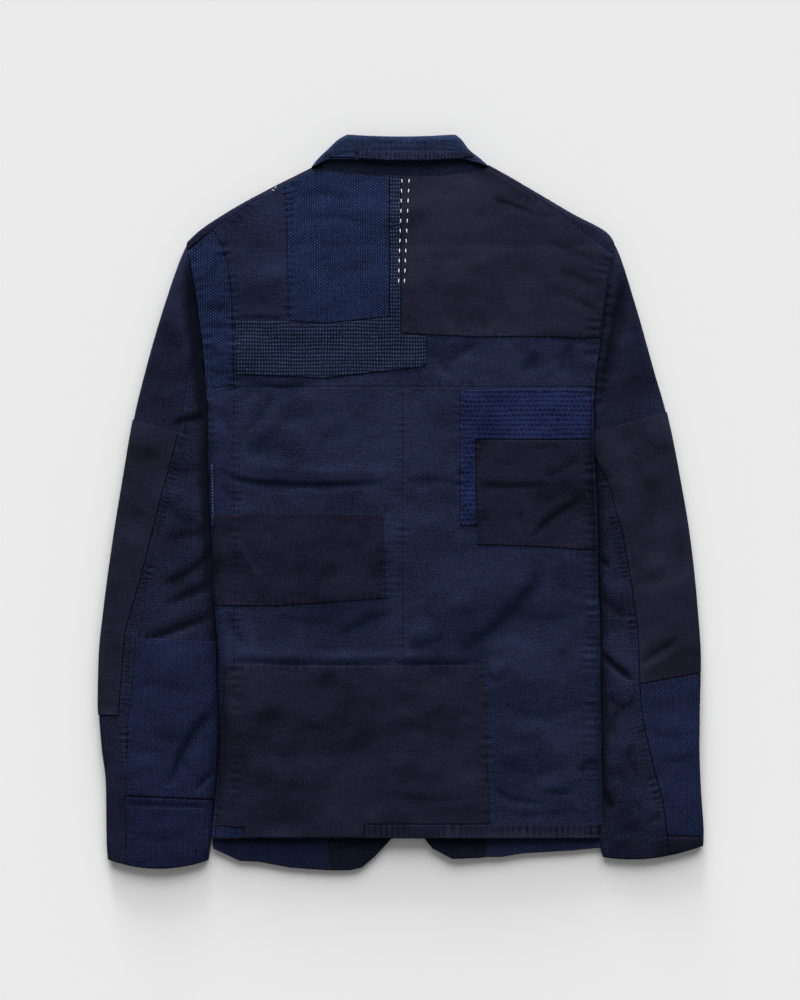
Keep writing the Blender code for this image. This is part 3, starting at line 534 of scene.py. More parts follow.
class Tube:
    """A flattened tube of cloth, smooth between its rows."""

    def __init__(self, rows, lift, creases, seams, seed, step=STEP, calm=1.0, side=ABOVE):
        self.lift, self.creases, self.seams, self.seed = lift, creases, seams, seed
        self.step, self.calm, self.side = step, calm, side
        self.rows = {name: np.array([row[name] for row in rows], float) for name in rows[0]}
        middle_x = 0.5 * (self.rows["left_x"] + self.rows["right_x"])
        middle_y = 0.5 * (self.rows["left_y"] + self.rows["right_y"])
        knots = np.concatenate(([0.0], np.cumsum(np.hypot(np.diff(middle_x), np.diff(middle_y)))))
        stops = [np.linspace(a, b, max(2, int(math.ceil((b - a) / step)) + 1))[:-1]
                 for a, b in zip(knots, knots[1:])]
        stops = np.concatenate(stops + [knots[-1:]])
        self.lines = {name: smooth_between(knots, values, stops)
                      for name, values in self.rows.items()}
        self.lines["opened"] = np.interp(stops, knots, self.rows["opened"])
        widest = width_of(self.rows).max()
        self.counts = {ABOVE: round(widest / step), BELOW: round(widest / UNDER_STEP)}

    def side_columns(self, side):
        """The columns of one side, each as some folds and a share of the width."""
        inner = np.arange(1, self.counts[side]) / self.counts[side]
        folds = np.concatenate((FOLD_TURNS, 1.0 - 2.0 * inner, -FOLD_TURNS[::-1]))
        shares = np.concatenate((FOLD_TURNS * 0, inner, FOLD_TURNS * 0 + 1.0))
        return folds, shares

    def columns(self, left, right):
        """The columns of its side, with some or all of the other side's beyond each fold."""
        folds, shares = self.side_columns(self.side)
        far_folds, far_shares = (columns[1:] for columns in self.side_columns(-self.side))
        return (np.concatenate((-far_folds[:left][::-1], folds, far_folds[:right])),
                np.concatenate((-far_shares[:left][::-1], shares, 1.0 + far_shares[:right])))

    def on_ground(self, row, distance):
        """The place in plan at a distance across each row."""
        width = width_of(row)
        share = np.clip(distance / width, 0.0, 1.0)
        middle = 4.0 * share * (1.0 - share)
        way_x, way_y = row["right_x"] - row["left_x"], row["right_y"] - row["left_y"]
        return (row["left_x"] + way_x / width * distance + row["bow"] * middle,
                row["left_y"] + way_y / width * distance - row["dip"] * middle)

    def points(self, row, distance):
        """The cloth's outer face at a distance round each ring from its left edge."""
        width = width_of(row)
        around = np.mod(distance, 2.0 * width)
        beyond = around > width + 1e-7
        across = np.where(beyond, 2.0 * width - around, around)
        upper = beyond if self.side == BELOW else ~beyond
        x, y = self.on_ground(row, across)
        edge = np.minimum(across, width - across)
        turn = np.sqrt(1.0 - (1.0 - np.clip(edge / row["reach"], 0.0, 1.0)) ** 2)
        level = np.clip((edge - row["reach"]) / (0.5 * width - row["reach"]), 0.0, 1.0)
        start = row["radius"] * (1.0 + row["opened"])
        hollow, pucker = sunk(self.creases, x, y), puckered(self.seams, x, y)
        relief = self.calm * rumpled(x, y, self.seed) - hollow + pucker
        top = start + (2.0 * row["radius"] - start) * turn
        top = top + row["crown"] * (1.0 - (1.0 - level) ** 2) + relief * turn
        low = row["radius"] * (1.0 - row["opened"]) * (1.0 - turn) + self.lift(x, y) * turn
        low = low + turn * np.maximum(0.0, 0.9 * uneven(x / 34.0, y / 27.0, self.seed + 9) - 0.25)
        # The upper side's relief goes to the material: its crests are faded as wear and also given
        # painted light, its hollows and creases painted shade.
        wear_and_shade = np.where(upper, relief, 0.0)
        leaning = np.where(upper, row["lean"] * 16.0 * turn ** 2 * (1.0 - turn) ** 2, 0.0)
        x = x + leaning * np.where(across < 0.5 * width, -1.0, 1.0)
        return np.stack((x, y, row["base"] + np.where(upper, top, low)), axis=-1), wear_and_shade

    def cloth(self, past_left, past_right, outline):
        """The grid that covers an outline: flat places, points, facings and relief."""
        folds, shares = self.columns(past_left, past_right)
        row = {name: values[:, None] for name, values in self.lines.items()}
        width = width_of(row)
        distance = folds[None, :] * row["reach"] + shares[None, :] * width
        flat_x, flat_y = self.on_ground(row, distance)
        held = within(flat_x, flat_y, outline.min(axis=0) - MARGIN, outline.max(axis=0) + MARGIN)
        lines, places = np.nonzero(held.any(axis=1))[0], np.nonzero(held.any(axis=0))[0]
        down, over = slice(lines[0], lines[-1] + 1), slice(places[0], places[-1] + 1)
        row = {name: values[down] for name, values in row.items()}
        distance, width = distance[down, over], width[down]
        points, wear_and_shade = self.points(row, distance)
        along, across = np.gradient(points, axis=(0, 1))
        opened = np.broadcast_to(row["opened"] > 0.5, distance.shape)
        first, last = np.abs(distance) < 1e-6, np.abs(distance - width) < 1e-6
        ahead = np.diff(points, axis=1, append=points[:, -1:])
        behind = np.diff(points, axis=1, prepend=points[:, :1])
        across = np.where((first & opened)[..., None], ahead, across)
        across = np.where((last & opened)[..., None], behind, across)
        facing = np.cross(along, across) * self.side
        facing /= np.maximum(np.linalg.norm(facing, axis=-1, keepdims=True), 1e-9)
        flat = np.stack((flat_x[down, over], flat_y[down, over]), axis=-1)
        return flat, points, facing, wear_and_shade

    def run(self, share, folds=0.0, extra=0.0):
        """A line down the tube's own rows: a share of the width, some folds and a distance."""
        distance = share * width_of(self.rows) + folds * self.rows["reach"] + extra
        x, y = self.on_ground(self.rows, distance)
        return tuple(zip(x, y))


def ring(left, right, row, opened=0.0, bow=0.0, dip=0.0, base=0.0, lean=0.0):
    """One row of a tube, from the columns that every table shares."""
    return dict(left_x=left[0], left_y=left[1], right_x=right[0], right_y=right[1],
                radius=row.radius, reach=row.reach, crown=row.crown, opened=opened, bow=bow,
                dip=dip, base=base, lean=lean)


body_rows = [ring((r.left, r.height), (r.right, r.height), r, opened=r.opened,
                  lean=LEAN if number >= UNDERARM else 0.0) for number, r in enumerate(BODY_ROWS)]
body = Tube(body_rows, centre_lift, BODY_CREASES, BODY_SEAMS, 11)
left_front, right_front = (Tube(body_rows, lift, BODY_CREASES, BODY_SEAMS, 11, HIDDEN_STEP,
                                side=BELOW) for lift in (centre_lift, right_front_lift))
left_rows = [ring((r.outer_x, r.outer_y), (r.inner_x, r.inner_y), r, bow=r.bow, dip=r.dip)
             for r in LEFT_SLEEVE_ROWS]
right_rows = [ring((r.inner_x, r.inner_y), (r.outer_x, r.outer_y), r, bow=-r.bow, dip=r.dip)
              for r in RIGHT_SLEEVE_ROWS]
left_sleeve, left_under = (Tube(rows, no_lift, LEFT_SLEEVE_CREASES, LEFT_SLEEVE_SEAMS, 21, step)
                           for rows, step in ((left_rows, STEP), (left_rows[1:], HIDDEN_STEP)))
right_sleeve, right_under = (Tube(rows, no_lift, RIGHT_SLEEVE_CREASES, RIGHT_SLEEVE_SEAMS, 25, step)
                             for rows, step in ((right_rows, STEP), (right_rows[1:], HIDDEN_STEP)))
stand = Tube([ring((r.left, r.height), (r.right, r.height), r, base=r.base) for r in STAND_ROWS],
             no_lift, (), (), 31, COLLAR_STEP, calm=0.5)
leaf = Tube([ring((r.left, r.height), (r.right, r.height), r, base=r.base, dip=r.dip)
             for r in LEAF_ROWS], no_lift, COLLAR_CREASES, COLLAR_SEAMS, 35, COLLAR_STEP, calm=0.6)
print("body grid:", len(body.lines["left_x"]), "lines")

# %% [markdown]
# ## Cutting out a piece
# A maker lays the cloth flat, cuts it along an outline and turns its edge under.  So the grid is
# laid flat, scored along each side of the outline with the bisect operator, and the scraps are
# deleted.  A second score close inside the edge lets the edge be rolled down.  Then
# the piece is lifted to its place and extruded to its thickness.

# %% Cutting tools
NARROWEST = 0.0105
SNAP = 0.02


def sides_of(outline):
    """The sides of an outline, as pairs of corners."""
    return zip(outline, outline[1:] + outline[:1])


def drawn_in(outline, amount):
    """An outline moved inwards all round."""
    points = [Vector(corner) for corner in outline]
    if sum(a.x * b.y - b.x * a.y for a, b in sides_of(points)) < 0.0:
        points.reverse()
    moved = []
    for back, here, onward in zip(points[-1:] + points[:-1], points, points[1:] + points[:1]):
        first, second = (here - back).normalized(), (onward - here).normalized()
        middle = Vector((-first.y - second.y, first.x + second.x))
        moved.append(here + middle * (2.0 * amount / middle.dot(middle)))
    return moved


def inside(outline, x, y):
    """True where a place is inside an outline."""
    held = np.zeros(x.shape, bool)
    for a, b in sides_of(outline):
        if a.y != b.y:
            held ^= ((a.y > y) != (b.y > y)) & (x < a.x + (y - a.y) * (b.x - a.x) / (b.y - a.y))
    return held


class Scored:
    """A flat sheet's faces and their centres, kept up to date while it is scored."""

    def __init__(self, sheet):
        self.sheet, self.faces = sheet, list(sheet.faces)
        self.centres = self.centres_of(self.faces)

    def centres_of(self, faces):
        """Where the middle of each face is, on the flat."""
        return np.array([face.calc_center_median()[:2] for face in faces]).reshape(-1, 2)

    def score(self, outline, cell):
        """Cut the faces along each side of an outline, where their centres are within a cell."""
        for a, b in sides_of(outline):
            length = (b - a).length
            way = (b - a) / length
            right, up = self.centres[:, 0] - a.x, self.centres[:, 1] - a.y
            off, along = right * -way.y + up * way.x, right * way.x + up * way.y
            near = (np.abs(off) < cell) & (along > -cell) & (along < length + cell)
            if not near.any():
                continue
            faces = list(compress(self.faces, near))
            edges = list(dict.fromkeys(edge for face in faces for edge in face.edges))
            verts = list(dict.fromkeys(vert for face in faces for vert in face.verts))
            made = bmesh.ops.bisect_plane(self.sheet, geom=verts + edges + faces, dist=SNAP,
                                          plane_co=(a.x, a.y, 0.0), plane_no=(-way.y, way.x, 0.0))
            pieces = [item for item in made["geom"] if isinstance(item, bmesh.types.BMFace)]
            self.faces = list(compress(self.faces, ~near)) + pieces
            self.centres = np.concatenate((self.centres[~near], self.centres_of(pieces)))

    def keep(self, outline):
        """Drop every face outside an outline."""
        scraps = ~inside(outline, self.centres[:, 0], self.centres[:, 1])
        bmesh.ops.delete(self.sheet, geom=list(compress(self.faces, scraps)), context="FACES")


def edge_distance(outline, x, y):
    """How far each place is from the outline."""
    rim = [tuple(corner) for corner in outline]
    return np.abs(beside(rim + rim[:1], x, y)[0])


def cut_size(outline):
    """The smallest rectangle that the piece is cut from, and its own area, in metres.

    A strip with its edges turned under is never cut narrower than NARROWEST."""
    x, y = np.array([tuple(corner) for corner in outline]).T * MM
    area = 0.5 * abs(np.dot(x, np.roll(y, -1)) - np.dot(y, np.roll(x, -1)))
    turns = [(math.cos(turn), math.sin(turn)) for turn in np.radians(np.arange(90))]
    sizes = [(np.ptp(x * over + y * up), np.ptp(y * over - x * up)) for over, up in turns]
    best = min(sizes, key=lambda size: size[0] * size[1])
    return tuple(max(float(size), NARROWEST) for size in best), float(area)


print("cutting tools ready")

# %% Cut a sheet and give it its thickness
UNDER_ROLL, PANEL_ROLL, PATCH_ROLL = 0.15, -0.05, -0.42


def cut_sheet(tube, past, outline, low, high):
    """A closed shell of cloth on a tube, cut along an outline, with its turned edge rolled down."""
    edge = drawn_in(outline, 0.5 * GAP)
    flat, points, facing, wear_and_shade = tube.cloth(*past, np.array([tuple(corner) for corner in edge]))
    sheet = bmesh.new()
    vectors, numbers = sheet.verts.layers.float_vector, sheet.verts.layers.float
    placed, faces_to, crest = vectors.new("placed"), vectors.new("faces_to"), numbers.new("crest")
    lines, places = wear_and_shade.shape
    bmesh.ops.create_grid(sheet, x_segments=places - 1, y_segments=lines - 1, size=0.5)
    laid = zip(sheet.verts, flat.reshape(-1, 2).tolist(), points.reshape(-1, 3).tolist(),
               facing.reshape(-1, 3).tolist(), wear_and_shade.ravel().tolist())
    for vert, place, point, way, height in laid:
        vert.co = (*place, 0.0)
        vert[placed], vert[faces_to], vert[crest] = point, way, height
    scored = Scored(sheet)
    wide = tube.side == BELOW or NONE not in past
    cell = 0.75 * (UNDER_STEP if wide else tube.step) + 1.5
    scored.score(edge, cell)
    scored.score(drawn_in(outline, 0.5 * GAP + TURNED_EDGE), cell)
    scored.keep(edge)
    bmesh.ops.triangulate(sheet, faces=[face for face in sheet.faces if len(face.verts) > 4])
    laid_flat, from_edge = vectors.new("laid_flat"), numbers.new("from_edge")
    placed, faces_to = vectors["placed"], vectors["faces_to"]
    away = edge_distance(edge, *np.array([vert.co[:2] for vert in sheet.verts]).T)
    for vert, distance in zip(sheet.verts, away.tolist()):
        vert[laid_flat], vert[from_edge] = vert.co, distance

    bottom_verts = sheet.verts[:]
    made = bmesh.ops.extrude_face_region(sheet, geom=sheet.faces[:], use_keep_orig=True)
    top_verts = [item for item in made["geom"] if isinstance(item, bmesh.types.BMVert)]
    rolled_down = PATCH_ROLL if low > 0.0 else PANEL_ROLL
    for verts, height, roll in ((bottom_verts, low, UNDER_ROLL), (top_verts, high, rolled_down)):
        for vert in verts:
            rolled = height + roll * (high - low) * max(0.0, 1.0 - vert[from_edge] / ROLLED_EDGE)
            vert.co = (Vector(vert[placed]) + Vector(vert[faces_to]) * rolled) * MM
    bmesh.ops.recalc_face_normals(sheet, faces=sheet.faces[:])
    vectors.remove(placed)
    vectors.remove(vectors["faces_to"])
    return sheet, cut_size(edge)


def add_object(name, data):
    """Puts a mesh, a light or a camera in the scene."""
    item = bpy.data.objects.new(name, data)
    bpy.context.scene.collection.objects.link(item)
    return item


def add_mesh(name, sheet, material):
    """Puts a finished mesh in the scene."""
    mesh = bpy.data.meshes.new(name)
    sheet.to_mesh(mesh)
    sheet.free()
    mesh.materials.append(material)
    return add_object(name, mesh)


def add_piece(name, sheet, material, nodes=(), smooth=True):
    """A finished mesh of the jacket, in place of the frame's own nodes."""
    for face in sheet.faces:
        face.smooth = smooth
    piece = add_mesh(name, sheet, material)
    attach(piece, "root")
    if nodes:
        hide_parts(*nodes)
    return piece


print("a turned edge rolls down over", TURNED_EDGE, "mm")

# %% [markdown]
# ## Cloth as a material
# Old indigo cotton is not one blue.  Thick and thin threads leave faint streaks, and washing fades
# the crests of the puckers, which are also lightened as painted light; the hollows and creases are
# darkened as painted shade, and so is the last millimetre at each turned edge.  A material could
# use a picture of cloth, but this one is worked out from the cloth's own flat coordinates, so a
# stitch pattern keeps its true size and turns with the cloth at every fold.  A small class lets
# sums be written plainly.

# %% A socket that can be used in sums
def wire(tree, node, inputs):
    """Gives a node's sockets their values or links, by name or by number."""
    by_name = {socket.identifier: socket for socket in node.inputs}
    for key, value in inputs.items():
        socket = by_name[key] if isinstance(key, str) else node.inputs[key]
        if isinstance(value, Shade):
            tree.links.new(value.socket, socket)
        else:
            socket.default_value = value


def new_node(tree, kind, inputs=None, output=0, **settings):
    """Adds a shader node: its settings come first and then its sockets' values or links."""
    node = tree.nodes.new("ShaderNode" + kind)
    for name, value in settings.items():
        setattr(node, name, value)
    wire(tree, node, inputs or {})
    return Shade(tree, node.outputs[output])


def new_material(name, finish):
    """A material whose shader gets the inputs that a function makes in its node tree."""
    material = bpy.data.materials.new(name)
    material.use_nodes = True
    tree = material.node_tree
    wire(tree, tree.nodes["Principled BSDF"], finish(tree))
    return material


def sum_of(operation, swapped=False):
    """A sum of two values, which can stand for an operator of the class below."""
    def act(self, other):
        return self.sum(operation, *((other, self) if swapped else (self, other)))
    return act


class Shade:
    """A value in a material that is added and multiplied like a number."""

    def __init__(self, tree, socket):
        self.tree, self.socket = tree, socket

    def sum(self, operation, *values):
        return new_node(self.tree, "Math", dict(enumerate(values)), operation=operation)

    __add__ = __radd__ = sum_of("ADD")
    __sub__, __rsub__ = sum_of("SUBTRACT"), sum_of("SUBTRACT", swapped=True)
    __mul__ = __rmul__ = sum_of("MULTIPLY")
    __truediv__ = sum_of("DIVIDE")
    rest = sum_of("FLOORED_MODULO")

    def floor(self):
        return self.sum("FLOOR", self)

    def size(self):
        return self.sum("ABSOLUTE", self)

    def clipped(self):
        return self.sum("MINIMUM", self.sum("MAXIMUM", self, 0.0), 1.0)

    def fades(self, start, stop):
        """1 up to the start and 0 from the stop on, with a smooth step between them."""
        return new_node(self.tree, "MapRange",
                        {"Value": self, "From Min": start, "From Max": stop, "To Min": 1.0,
                         "To Max": 0.0}, interpolation_type="SMOOTHSTEP")


def mixed(share, first, second):
    """One colour blended over another by a share."""
    return new_node(share.tree, "Mix", output=2, data_type="RGBA",
                    inputs={"Factor_Float": share, "A_Color": first, "B_Color": second})


def shown(red, green, blue):
    """A colour as it shows on a screen, from 0 to 255, made into the light that it stands for."""
    parts = [part / 255.0 for part in (red, green, blue)]
    light = [p / 12.92 if p <= 0.04045 else ((p + 0.055) / 1.055) ** 2.4 for p in parts]
    return (*light, 1.0)


print("a mid navy:", [round(part, 4) for part in shown(29, 35, 57)[:3]])

# %% Stitch patterns
def zigzag(x, y, across, down):
    """Columns of short slanted stitches, which lean the other way in each next column."""
    column = x / across
    number = column.floor()
    local = column - number - 0.5
    lean = number.rest(2.0) * 1.2 - 0.6
    row = (y / down + local * lean + number.rest(2.0) * 0.5).rest(1.0) - 0.5
    return row.size().fades(0.08, 0.36) * local.size().fades(0.12, 0.4)


def dots(x, y, across, down):
    """Small upright stitches in straight columns and level rows."""
    column = x / across
    local = column - column.floor() - 0.5
    row = (y / down).rest(1.0) - 0.5
    return row.size().fades(0.06, 0.34) * local.size().fades(0.06, 0.34)


def running_rows(x, y, across, down):
    """Level rows of dark running stitches, set between those of the next row, with painted shade
    along each row's groove.
    """
    row = y / down
    number = row.floor()
    local = row - number - 0.5
    place = (x / across + number.rest(2.0) * 0.5).rest(1.0) - 0.5
    stitch = place.size().fades(0.12, 0.3) * local.size().fades(0.12, 0.32)
    # Painted shade: a dark band along each row, where the stitches pull the cloth into a groove.
    return stitch.sum("MAXIMUM", stitch, local.size().fades(0.1, 0.42) * 0.42)


def no_pattern(x, y, across, down):
    return x * 0.0


print("patterns: zigzag, dots, running rows")

# %% One recipe for every cloth
# A dye's groove is the share of painted shade that darkens its pieces' turned edges, where a seam
# groove lies.
Dye = namedtuple("Dye", "deep faded thread strength pattern across down slub mottle groove",
                 defaults=((0, 0, 0), 0.0, no_pattern, 1.0, 1.0, 0.5, 0.5, 0.92))
DYES = {
    "yoke_navy": Dye((14.5, 19.8, 36), (33, 40.6, 66), groove=0.25),
    "back_blue": Dye((14.2, 20.2, 36.8), (33.6, 41, 65.9), groove=0.25),
    "side_blue": Dye((14.2, 20.3, 38.4), (33.6, 41.1, 68.3), groove=0.25),
    "sleeve_navy": Dye((11.5, 13.8, 26.4), (29, 32.9, 54.2), groove=0.25),
    "sleeve_inner": Dye((11.8, 14.6, 26.3), (34, 38.6, 63), groove=0.25),
    "front_navy": Dye((7.5, 12.1, 20.1), (21, 27.3, 43.4)),
    "stand_navy": Dye((10.5, 15.7, 27.1), (30.2, 38.5, 60.8)),
    "brown_black": Dye((18.6, 19.1, 30.9), (35, 35.8, 53.3), slub=0.28, mottle=0.4),
    "brown_low": Dye((14.2, 15, 27.8), (34.3, 34.8, 53.1), slub=0.28, mottle=0.5),
    "brown_deep": Dye((12, 12, 24.5), (30.5, 29.3, 48), slub=0.4, mottle=0.6),
    "brown_binding": Dye((14.6, 18.3, 33), (41.3, 47, 74)),
    "shoulder_dark": Dye((9.7, 12.1, 26.3), (27.2, 30.8, 52.3), groove=0.4),
    "shoulder_navy": Dye((12, 14, 26), (31, 34, 54), groove=0.4),
    "shoulder_blue": Dye((8.2, 13.4, 30.9), (21, 30.2, 56.9), (47.9, 63.8, 105.4),
                         0.9, zigzag, 2.47, 3.09),
    "sleeve_sashiko": Dye((10, 13.5, 31.2), (23.3, 29.5, 55.5), (44.7, 57.5, 95.8),
                          0.64, zigzag, 2.4, 2.9),
    "cuff_sashiko": Dye((8.2, 10.8, 28), (21.5, 27.6, 52.6), (43.4, 55.2, 96.7),
                        0.64, zigzag, 2.4, 2.9),
    "front_sashiko": Dye((9.4, 11.9, 25.4), (22.3, 29.2, 52.3), (33, 42.1, 73.2),
                         0.7, zigzag, 2.68, 3.26),
    "dotted_cloth": Dye((9.7, 13.5, 24.3), (24.7, 29.8, 47.1), (61.8, 85.6, 126.4),
                        0.85, dots, 2.94, 3.81),
    "dotted_front": Dye((7, 10.5, 18.5), (18.5, 24, 38), (24, 39, 54), 0.6, dots, 2.94, 3.81),
    # Painted light: the fronts' sashiko cloth, lightened on the right front where the back's hem
    # shades it.
    "front_sashiko_lit": Dye((14, 19, 35), (31, 38, 65), (41, 51, 83), 0.64, zigzag, 2.4, 2.9),
    "row_blue": Dye((14.2, 20, 48.5), (33.5, 43.6, 82.3), (2.2, 2.9, 7.4),
                    0.95, running_rows, 4.83, 4.94),
    "collar_strip": Dye((17, 26, 48), (42, 56, 88)),
    "collar_faded": Dye((15.7, 23.1, 42.1), (36.9, 49.8, 77.2)),
}
# Painted shade: the near-black that the last millimetre of a turned edge is darkened towards.
GROOVE_SHADE = 4, 5, 9


def cloth(tree, dye):
    """Washed indigo cotton: streaks, fades, a stitch pattern, rubbed edges, and painted light and
    shade.
    """
    def attribute(layer, output):
        return new_node(tree, "Attribute", output=output, attribute_name=layer)

    def noise(scale_x, scale_y, detail=3.0, shift=0.0):
        place = new_node(tree, "CombineXYZ", {"X": x * scale_x + shift, "Y": y * scale_y})
        return new_node(tree, "TexNoise", {"Vector": place, "Scale": 1.0, "Detail": detail,
                                           "Roughness": 0.6})

    laid = attribute("laid_flat", 1)
    x, y = (new_node(tree, "SeparateXYZ", {"Vector": laid}, way) for way in (0, 1))
    crest, from_edge = attribute("crest", 2), attribute("from_edge", 2)
    warp, weft = noise(0.95, 0.045), noise(0.05, 0.8)
    grain, fade, tint = noise(0.7, 0.7, 2.0), noise(0.022, 0.03, 4.0), noise(0.5, 0.5, 1.0, 40.0)
    streaks = (warp + weft - 1.0) * (2.0 * dye.slub) + (grain - 0.5) * (7.6 * dye.slub)
    # Random fades in the dye; the relief height adds fading on crests from wear, which is also
    # painted light, and painted shade in hollows and creases.
    fading_and_shade = (fade - 0.5) * (1.5 * dye.mottle) + crest * 0.28
    rubbed = from_edge.fades(0.5, 2.6) * 0.16
    share = (streaks + fading_and_shade + rubbed + 0.44).clipped()
    reddish = ((tint - 0.5) * 4.0 + 0.5).clipped()
    deep, faded = (mixed(reddish, shown(red * 0.8, green * 1.06, blue * 1.02),
                         shown(red * 1.2, green * 0.94, blue))
                   for red, green, blue in (dye.deep, dye.faded))
    colour = mixed(share, deep, faded)
    uneven_stitches = (noise(0.3, 0.24, 1.0) * 2.2 - 0.35).clipped()
    drift_x, drift_y = noise(0.03, 0.012, 1.0) - 0.5, noise(0.015, 0.025, 2.0) - 0.5
    stitches = dye.pattern(x + drift_x * 5.0, y + drift_y * 6.0, dye.across, dye.down)
    stitches = stitches * uneven_stitches
    if dye.strength:
        colour = mixed(stitches * dye.strength, colour, shown(*dye.thread))
    height = (warp + weft + grain) * 0.3 + stitches * 0.22
    bump = new_node(tree, "Bump", {"Strength": 0.8, "Distance": MM, "Height": height})
    # Painted shade: within about a millimetre of a turned edge the colour darkens towards the
    # seam-shade near-black, by the dye's groove share.
    return {"Base Color": mixed(from_edge.fades(0.1, 1.0) * dye.groove, colour, shown(*GROOVE_SHADE)),
            "Roughness": 0.97 - share * 0.12, "Normal": bump, "Specular IOR Level": 0.05}


materials = {name: new_material(name, lambda tree: cloth(tree, dye)) for name, dye in DYES.items()}
print("cloth materials:", len(materials))

# %% [markdown]
# ## The pieces, drawn flat
# Each outline is the piece as it is cut, drawn from above in millimetres.  Past a fold it goes on
# flat, as the cloth would lie if it were opened out.  The body has a yoke, two lower backs, a
# left side of two cloths, the fronts of two lengths each and the strips over the shoulders.
# FORWARD and SIDE_FRONT are how far the shoulder and side pieces run on past a fold.  SIDE_BACK,
# WRAP and TURN are how far the other edges near a fold lie from it.

# %% Seams that several pieces share
NECK_SEAM = corners("91 351.5  70 346  41 342  8 342  -25 343  -56 345  -91 350.5")
LEFT_SHOULDER_SEAM = corners("-91 350.5  -108 342.5  -136 328.5  -148 319  -182 296  -197 286")
RIGHT_SHOULDER_SEAM = corners("220 262  193 282  170 301  126 330  91 351.5")
LEFT_SIDE_SEAM = corners("-197 286  -186 267  -179 236  -176 190") + ((-175, YOKE),)
LEFT_ARMHOLE = corners("-202 94  -203 106  -208 166  -216 225  -223 261  -224.5 262.5")
RIGHT_ARMHOLE = corners("202 94  202 106  208 166  216 225  223 261  220 262")
SIDE_PANEL_TOP = corners("-175 123.5  -204 117.5")
SIDE_FRONT, SIDE_BACK = 50.0, 0.9
FRONT_SEAM_LEFT, FRONT_SEAM_RIGHT = -75.0, 90.0
FORWARD, WRAP, TURN = 30.0, 1.8, 1.4
folds, sides = BODY_ROWS[1:6], BODY_ROWS[-2:UNDERARM:-1]
INNER_GAP, STEP_AT = 0.3, 0.21
left_inner_edge = left_under.run(-1.0, 1.0, INNER_GAP)
right_fold, right_flat = right_under.run(2.0), right_under.run(2.0, -1.0, -INNER_GAP)
step_out = tuple(tuple(Vector(line[3]).lerp(Vector(line[4]), STEP_AT))
                 for line in (right_fold, right_flat))
right_inner_edge = right_fold[:4] + step_out + right_flat[4:]
LEFT_SLEEVE_SEAM = corners("-194 205  -222 130") + LEFT_ELBOW_SEAM[:-1] + ((-288, -390),)
RIGHT_SLEEVE_SEAM = corners("199 92  203.4 60  206 52") + RIGHT_ELBOW_SEAM[:-1] + ((284, -390),)


def edge_of(rows, side, out=0.0, down=0.0):
    """The left or right edge of some rows, moved out and down."""
    return tuple((getattr(row, side) + out, row.height - down) for row in rows)


print("shared seams ready")

